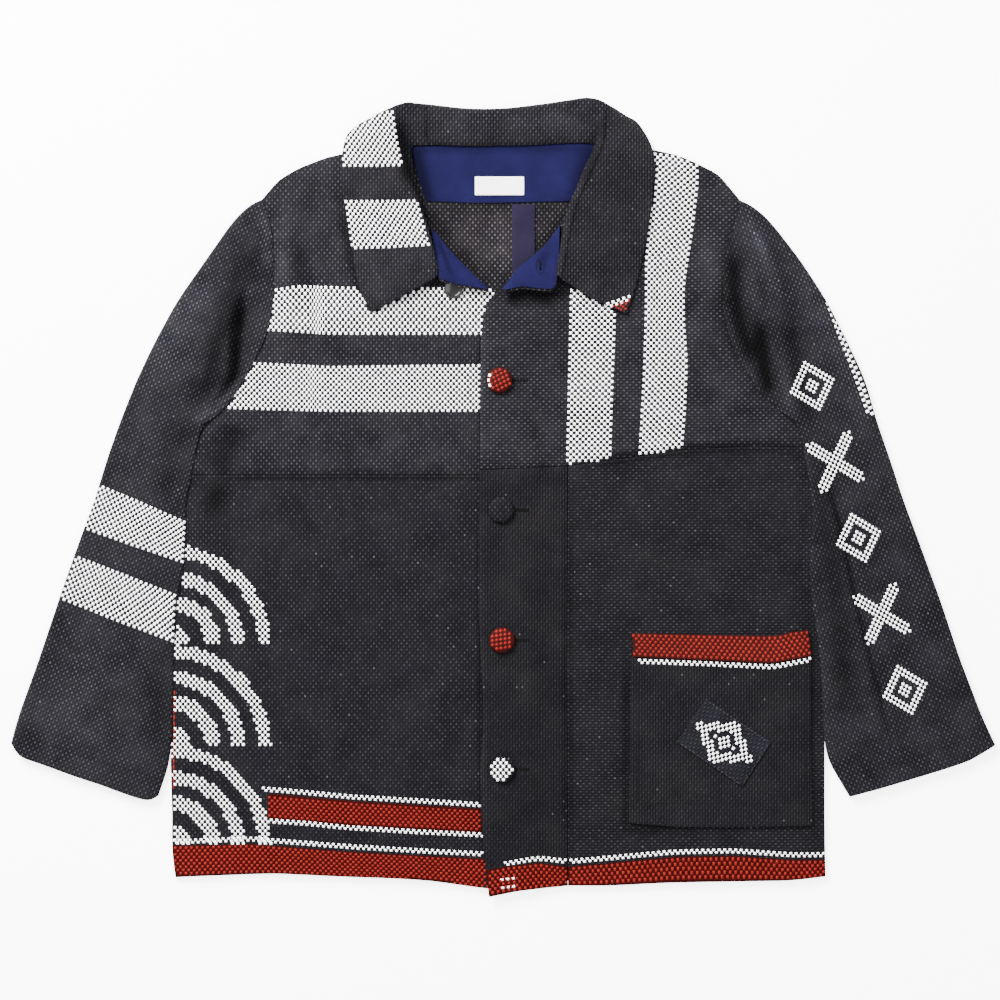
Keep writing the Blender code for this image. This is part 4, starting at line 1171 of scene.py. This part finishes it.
def banded(top, bottom, left=None, right=None, across=None, along_=None, squeeze=(), keep=None):
    across, along_ = across or cloth["stitchAcross"], along_ or cloth["stitchAlong"]
    top, bottom = eased(top, rounds=4), eased(bottom, rounds=4)
    left = eased(left, rounds=4) if left else np.array([top[0], bottom[0]])
    right = eased(right, rounds=4) if right else np.array([top[-1], bottom[-1]])
    columns = max(round((lengthOf(top) + lengthOf(bottom)) / across), 1)
    rows = max(round((lengthOf(left) + lengthOf(right)) / along_), 1)
    shares = squeezed(2 * columns, lengthOf(top), squeeze)
    even = np.linspace(0, 1, 2 * rows + 1)
    plan = patchPoints(along(left, even), along(right, even), along(top, shares), along(bottom, shares))
    marks = []
    for j in range(rows):
        for i in range(columns):
            if (i + j) % 2 or (keep and not keep(i, j, columns, rows, plan[2 * j + 1, 2 * i + 1])):
                continue
            here = plan[2 * j + 1, 2 * i + 1]
            run = plan[2 * j + 1, 2 * i + 2] - plan[2 * j + 1, 2 * i]
            drop = plan[2 * j + 2, 2 * i + 1] - plan[2 * j, 2 * i + 1]
            marks.append((*here, *run, 2 * np.hypot(*run), 2 * np.hypot(*drop)))
    return marks


def edged(points, offset):  # the same polyline, lower by an offset
    return [(right, down + offset) for right, down in points]


bands = {
    "chestUpper": dict(
        top=[(258, 292), (272, 289), (300, 285), (362, 287), (440, 287), (500, 289)],
        bottom=[(258, 331), (266, 331), (329, 335), (400, 335), (500, 335)],
        squeeze=[(59, 0.8, 6), (44, -0.05, 20)],
    ),
    "chestLower": dict(
        top=[(214, 356), (253, 362), (329, 366), (400, 365), (500, 364)],
        bottom=[(214, 408), (223, 409), (329, 412), (400, 412), (500, 412)],
        squeeze=[(99, 0.35, 7)],
    ),
    "uprightOuter": dict(
        top=[(617, 283), (616, 320), (613, 400), (611, 465)],
        bottom=[(570.5, 283), (570, 292), (568, 380), (566, 465)],
        across=6.05, along_=6.0,
    ),
    "uprightInner": dict(
        top=[(698, 152), (699, 182), (693, 233), (685, 284), (685, 322), (688, 361), (686, 412), (682, 460)],
        bottom=[(654, 146), (650, 208), (645, 259), (645, 310), (643, 373), (638, 464)],
        across=6.05, along_=6.0,
    ),
    "sleeveUpper": dict(
        top=[(88, 479.5), (99, 484), (142, 502), (185, 521), (200, 527)],
        bottom=[(70, 523.5), (83, 529), (132, 546), (185, 564), (200, 569.5)],
    ),
    "sleeveLower": dict(
        top=[(64, 551), (75, 555), (125, 574), (175, 594), (190, 600)],
        bottom=[(46, 594), (59, 599), (115, 621), (174, 643), (190, 649)],
    ),
    "sleeveEdge": dict(
        top=[(829, 301), (849, 340), (867, 380), (878.5, 414)],
        bottom=[(826, 303), (838, 336), (853, 375), (867, 416)],
        across=6.05, along_=6.0,
    ),
    "collarUpper": dict(
        top=[(333, 112), (364, 112), (394, 112)], bottom=[(340.5, 167), (372, 168), (404, 168)],
        right=[(394, 112), (398, 140), (404, 168)],
    ),
    "collarLower": dict(top=[(344.6, 200.4), (380, 201), (418, 201)], bottom=[(351.8, 249.6), (392, 249), (430.6, 247)]),
}

hem = {
    "lineOne": [(262, 789), (300, 792), (351, 797), (420, 801), (500, 806)],
    "lineTwo": [(270, 821), (300, 823), (351, 828), (420, 832), (500, 836)],
    "lineThree": [(172, 842), (200, 841), (250, 839), (351, 847), (420, 851), (500, 855)],
    "lineRight": [(504, 864), (520, 861), (539, 858), (567, 862), (600, 859), (676, 852), (734, 851), (791, 855), (828, 855)],
    "red": [
        dict(top=[(262, 793), (351, 801), (500, 810)], bottom=[(262, 818), (351, 826), (500, 834)], ends=(268, 500)),
        dict(top=[(172, 846), (250, 844), (351, 852), (500, 860)], bottom=[(172, 895), (500, 900)], ends=(150, 484)),
        dict(top=[(486, 870), (509, 866), (539, 863), (567, 867), (600, 864), (676, 857), (734, 856), (791, 860), (828, 860)],
             bottom=[(486, 905), (828, 905)], ends=(484, 840)),
    ],
}


def redDepth(red, right, down):  # how far inside a red band a place is, in millimetres
    best = np.full(np.shape(right), -20.0)
    for band in red:
        top = np.interp(right, *np.array(band["top"], float).T)
        bottom = np.interp(right, *np.array(band["bottom"], float).T)
        inside = np.minimum(np.minimum(down - top, bottom - down), np.minimum(right - band["ends"][0], band["ends"][1] - right))
        best = np.maximum(best, inside)
    return best


def markRed(piece, red):
    mesh = piece.data
    place = np.empty(len(mesh.vertices) * 3)
    mesh.vertices.foreach_get("co", place)
    right, down = board(place.reshape(-1, 3))
    mark = mesh.attributes.new("redDepth", "FLOAT", "POINT")
    mark.data.foreach_set("value", np.clip(redDepth(red, right, down), -20, 20).astype(np.float32))


waves = {"centres": [(171, 645), (171, 745), (171, 845)], "radius": 100.0, "arcs": [(0.0, 0.2), (0.34, 0.5), (0.6, 0.74), (0.87, 1.0)]}


def onWave(i, j, columns, rows, here):
    for right, down in waves["centres"]:
        if here[1] <= down < here[1] + waves["radius"]:
            far = math.hypot(here[0] - right, here[1] - down) / waves["radius"]
            return any(start <= far <= end for start, end in waves["arcs"])
    return False


def lozenge(half, tall, hollow=0.5, heart=0.2):
    def keep(i, j, columns, rows, here):
        far = abs(i - (columns - 1) / 2) / half + abs(j - (rows - 1) / 2) / tall
        return hollow < far <= 1.02 or far < heart
    return keep


def crossed(half, tall):
    def keep(i, j, columns, rows, here):
        a, b = abs(i - (columns - 1) / 2) / half, abs(j - (rows - 1) / 2) / tall
        return abs(a - b) < 0.26 and max(a, b) <= 1.0 or a + b > 1.4 and max(a, b) <= 1.02
    return keep


def tilted(middle, wide, tall, turn):  # the four edges of a turned rectangle on the board
    cosine, sine = math.cos(math.radians(turn)), math.sin(math.radians(turn))
    corners = [(-wide / 2, -tall / 2), (wide / 2, -tall / 2), (wide / 2, tall / 2), (-wide / 2, tall / 2)]
    first, second, third, fourth = (
        (middle[0] + x * cosine - y * sine, middle[1] + x * sine + y * cosine) for x, y in corners
    )
    return dict(top=[first, second], bottom=[fourth, third])


column = {"start": (812, 386), "end": (905, 690), "turn": -17.0, "wide": 52.0, "tall": 58.0, "count": 5}


def columnMarks():
    marks = []
    for k in range(column["count"]):
        share = k / (column["count"] - 1)
        middle = tuple(a + (b - a) * share for a, b in zip(column["start"], column["end"]))
        keep = lozenge(9.2, 9.4, 0.58, 0.32) if k % 2 == 0 else crossed(8.6, 8.8)
        marks += banded(**tilted(middle, column["wide"], column["tall"], column["turn"]), keep=keep)
    return marks


def running(points, length, gap, wide):  # one line of stitches, each this long and wide
    points = eased(points, rounds=3)
    count = max(round(lengthOf(points) / (length + gap)), 1)
    places = along(points, (np.arange(count) + 0.5) / count)
    ahead = along(points, np.minimum((np.arange(count) + 0.7) / count, 1.0))
    return [
        (*place, *(front - place), length / 2 / stitch["across"], wide / 2 / stitch["along"])
        for place, front in zip(places, ahead)
    ]


def woven(right, down, radius, turn=0.0):  # a button's cover
    def keep(i, j, columns, rows, here):
        return math.hypot(here[0] - right, here[1] - down) < radius
    return banded(**tilted((right, down), radius * 2, radius * 2, turn), keep=keep)


print("stitches")
whiteThread = thread("whiteThread", (0.95, 0.95, 0.95), (0.72, 0.72, 0.73))
redThread = thread("redThread", (0.133, 0.0076, 0.005), (0.073, 0.0035, 0.0025))
markRed(rightLower, hem["red"][:2])
markRed(leftCentre, hem["red"][2:])
markRed(leftSide, hem["red"][2:])

lineWidth = 5.0
wavePatch = banded(top=[(165, 545), (275, 545)], bottom=[(165, 845), (275, 845)], keep=onWave)
whites = [
    ("whiteStitchesChest", rightUpper, banded(**bands["chestUpper"]) + banded(**bands["chestLower"])),
    ("whiteStitchesUpright", leftUpper, banded(**bands["uprightOuter"]) + banded(**bands["uprightInner"])),
    ("whiteStitchesWaves", rightLower, wavePatch + [
        mark for line in ("lineOne", "lineTwo", "lineThree")
        for mark in banded(top=edged(hem[line], -lineWidth / 2), bottom=edged(hem[line], lineWidth / 2), along_=5.0)
    ]),
    ("whiteStitchesHemCentre", leftCentre,
     banded(top=edged(hem["lineRight"], -lineWidth / 2), bottom=edged(hem["lineRight"], lineWidth / 2), along_=5.0)),
    ("whiteStitchesHemSide", leftSide,
     banded(top=edged(hem["lineRight"], -lineWidth / 2), bottom=edged(hem["lineRight"], lineWidth / 2), along_=5.0)),
    ("whiteStitchesPocket", pocketCloth,
     banded(top=[(638, 658.6), *edged(pocket["top"][1:], 0.3)], bottom=[(638, 663.6), *edged(pocket["top"][1:], 5.3)], along_=5.0)),
    ("whiteStitchesSleeveRight", sleeveRight, banded(**bands["sleeveUpper"]) + banded(**bands["sleeveLower"])),
    ("whiteStitchesSleeveLeft", sleeveLeft, banded(**bands["sleeveEdge"]) + columnMarks()),
    ("whiteStitchesPlacket", leftCentre,
     [mark for y in (880, 888) for mark in running([(494 + y % 7, y), (516, y - 2)], 3.6, 2.2, 2.6)]),
    ("whiteStitchesButtonTop", buttons[0], running([(490.5, 388), (488.6, 380), (490.5, 373)], 3.4, 1.6, 3.0)),
    ("whiteStitchesButtonLow", buttons[3], woven(502, 769, 11.6)),
    ("whiteStitchesLabel", neckLabel, running([(477, 178.6), (522, 178.6)], 1.6, 1.6, 0.5)
     + running([(477, 193), (522, 193)], 1.6, 1.6, 0.5)),
    ("whiteStitchesCollar", collarFall, banded(**bands["collarUpper"]) + banded(**bands["collarLower"])
     + banded(top=[(606, 303), (633, 294)], bottom=[(608, 309), (633, 300)])),
    ("whiteStitchesPatch", pocketPatch,
     banded(**tilted((724, 742), 73, 47, 34), keep=lozenge(13, 7.6, 0.52, 0.32))),
]
stitched = [sewStitches(name, piece, marks, whiteThread) for name, piece, marks in whites]
redHem = hem["red"]
reds = [
    ("redStitchesHemRight", rightLower,
     banded(top=edged([(268, 796), (351, 803), (500, 812)], 0), bottom=[(268, 817), (351, 824), (500, 832)])
     + banded(top=[(168, 847), (250, 845), (351, 853), (500, 861)], bottom=[(168, 882), (280, 879), (400, 884), (500, 896)])),
    ("redStitchesHemCentre", leftCentre,
     banded(top=[(486, 872), (509, 867), (539, 864), (567, 868)], bottom=[(486, 902), (519, 897), (568, 892)])),
    ("redStitchesHemSide", leftSide,
     banded(top=[(567, 868), (600, 865), (676, 858), (734, 857), (791, 861), (828, 861)],
            bottom=[(567, 892), (610, 892), (670, 889), (730, 888), (790, 887), (828, 883)])),
    ("redStitchesPocket", pocketBand,
     banded(top=edged(pocket["bandTop"], 1), bottom=edged(pocket["bandBottom"], -1.6))),
    ("redStitchesCollar", collarFall,
     banded(top=[(607, 307.4), (633, 298.4)], bottom=[(611, 319), (629, 317)], across=4.7, along_=4.7)),
    ("redStitchesEdge", rightLower, running([(174, 690), (173.6, 735), (173.2, 790)], 5.4, 0.8, 1.8)),
    ("redStitchesButtonHigh", buttons[0], woven(500.5, 380.5, 11.4, 20)),
    ("redStitchesButtonThird", buttons[2], woven(502, 640, 11.4, 40)),
]
stitched += [sewStitches(name, piece, marks, redThread) for name, piece, marks in reds]
darkThread = thread("darkThread", (0.0022, 0.002, 0.0026), (0.0012, 0.0011, 0.0015))
blueThread = thread("blueThread", (0.0026, 0.0022, 0.013), (0.0016, 0.0014, 0.008))


def slit(right, down, length=17.0):  # a buttonhole worked across; its near-black stitches are painted shade of the open slit
    return [mark for side in (-0.8, 0.8)
            for mark in running([(right, down + side), (right + length, down + side)], 2.6, 0.1, 2.0)]


sewn = [
    ("darkStitchesPocket", pocketCloth,
     running([(638.5, 668), (638, 740), (637.5, 801)], 2.4, 1.0, 0.8) + running([(637, 802), (700, 804), (805, 803)], 2.4, 1.0, 0.8)
     + running([(805, 672), (805, 740), (806, 820)], 2.4, 1.0, 0.8) + running([(674.5, 649), (679, 649)], 2.6, 0.3, 4.0)),
    ("darkStitchesBand", pocketBand, running([(675.5, 649), (679.5, 649)], 3.2, 0.3, 4.4)),
    ("darkStitchesYoke", rightUpper, running([(200, 470), (300, 470), (476, 470)], 2.4, 1.0, 0.7)),
    ("darkStitchesPlacket", leftCentre, running([(488, 480), (487, 600), (490, 719), (488, 817), (493, 880)], 2.4, 1.0, 0.7)),
    ("darkStitchesSide", leftSide, running([(574, 478), (573.5, 640), (574, 856)], 2.4, 1.0, 0.7)
     + running([(578, 456 + 16), (640, 463), (690, 456), (755, 453), (800, 454)], 2.4, 1.0, 0.7)),
    ("darkStitchesCollar", collarFall, running([(426.5, 107), (426.5, 141)], 2.4, 0.6, 0.7)),
    ("darkStitchesCuffRight", sleeveRight, running([(16, 722), (40, 742), (100, 762), (158, 778)], 2.4, 1.2, 0.6)),
    ("darkStitchesCuffLeft", sleeveLeft, running([(990, 722), (970, 738), (910, 760), (846, 776)], 2.4, 1.2, 0.6)),
]
stitched += [sewStitches(name, piece, marks, darkThread, rise=0.45) for name, piece, marks in sewn]
paleThread = thread("paleThread", (0.030, 0.029, 0.034), (0.014, 0.0135, 0.016))
stitched.append(sewStitches(
    "paleStitchesPatch", pocketPatch,
    running([(708.5, 701.5), (767, 741)], 2.2, 2.0, 0.8) + running([(768, 744), (743, 783)], 2.2, 2.4, 0.8)
    + running([(740, 784), (680, 743)], 2.2, 2.6, 0.8), paleThread, rise=0.45,
))
# near-black thread: painted shade in the buttonholes' open slits
slitShadeThread = thread("slitShadeThread", (0.0006, 0.0006, 0.0007), (0.0004, 0.0004, 0.0004))
holes = [("darkStitchesButtonhole", leftUpper, slit(511, 380.5)),
         ("darkStitchesButtonholes", leftCentre, slit(512, 510) + slit(513, 640) + slit(513, 769))]
stitched += [sewStitches(name, piece, marks, slitShadeThread, rise=0.5) for name, piece, marks in holes]
holeRound = [(540 + 4.2 * math.sin(a), 266.5 - 8.2 * math.cos(a)) for a in np.linspace(0, math.tau, 25)]
piped = [
    ("blueStitchesFacingLeft", facingLeft, running(holeRound, 1.5, 0.2, 1.8)
     + running([(556.5, 240), (554, 276), (551, 286)], 2.0, 1.0, 0.5) + running([(550, 285.5), (535, 285), (516, 284)], 2.0, 1.0, 0.5)),
    ("blueStitchesFacingRight", facingRight, running([(435.5, 244), (441, 268), (443, 277)], 2.0, 1.0, 0.5)
     + running([(443, 278), (458, 282), (474, 284)], 2.0, 1.0, 0.5)),
]
stitched += [sewStitches(name, piece, marks, blueThread, rise=0.5) for name, piece, marks in piped]
# the facing's buttonhole slit, near-black stitches as painted shade
stitched.append(sewStitches("darkStitchesFacing", facingLeft, running([(539.4, 261), (540.6, 272)], 10.5, 0.2, 2.2),
                            slitShadeThread, rise=0.8))


light = {
    "camera": 2.8,
    "lens": 100.0,
    "photoMiddle": (500, 500),
    "clothHeight": 8.0,
}


def stageAndLight():
    bm = bmesh.new()
    bmesh.ops.create_grid(bm, x_segments=2, y_segments=2, size=6.0)
    mesh = bpy.data.meshes.new("floor")
    bm.to_mesh(mesh)
    bm.free()
    floor = bpy.data.objects.new("floor", mesh)
    floor.location.z = -0.0004
    bpy.context.scene.collection.objects.link(floor)
    pale = Finish("paleFloor", roughness=0.9, specular=0.0)
    pale.shader.inputs["Base Color"].default_value = (0.92, 0.92, 0.92, 1)
    pale.shader.inputs["Emission Color"].default_value = (1, 1, 1, 1)
    pale.shader.inputs["Emission Strength"].default_value = 3.5
    dress(floor, pale.material)
    lamps = [
        ("key", (-1.2, 1.6, 1.5), 1.2, 560.0),
        ("fill", (1.5, -0.2, 2.4), 2.6, 110.0),
        ("front", (-0.2, -1.9, 2.2), 2.4, 70.0),
    ]
    for name, place, size, watts in lamps:
        lamp = bpy.data.lights.new(name, "AREA")
        lamp.shape = "SQUARE"
        lamp.size = size
        lamp.energy = watts
        holder = bpy.data.objects.new(name, lamp)
        holder.location = place
        holder.rotation_euler = (-Vector(place)).to_track_quat("-Z", "Y").to_euler()
        bpy.context.scene.collection.objects.link(holder)
    world = bpy.data.worlds.new("studio")
    world.use_nodes = True
    world.node_tree.nodes["Background"].inputs["Color"].default_value = (1, 1, 1, 1)
    world.node_tree.nodes["Background"].inputs["Strength"].default_value = 1.7
    bpy.context.scene.world = world
    camera = bpy.data.cameras.new("camera")
    camera.lens = light["lens"]
    camera.sensor_width = 36.0
    holder = bpy.data.objects.new("camera", camera)
    middle = spot(*light["photoMiddle"], light["clothHeight"])
    distance = 1.0 * light["lens"] / 36.0  # one metre of cloth fills the frame
    holder.location = (middle[0], middle[1], middle[2] + distance)
    bpy.context.scene.collection.objects.link(holder)
    bpy.context.scene.camera = holder


print("stage and light")
stageAndLight()
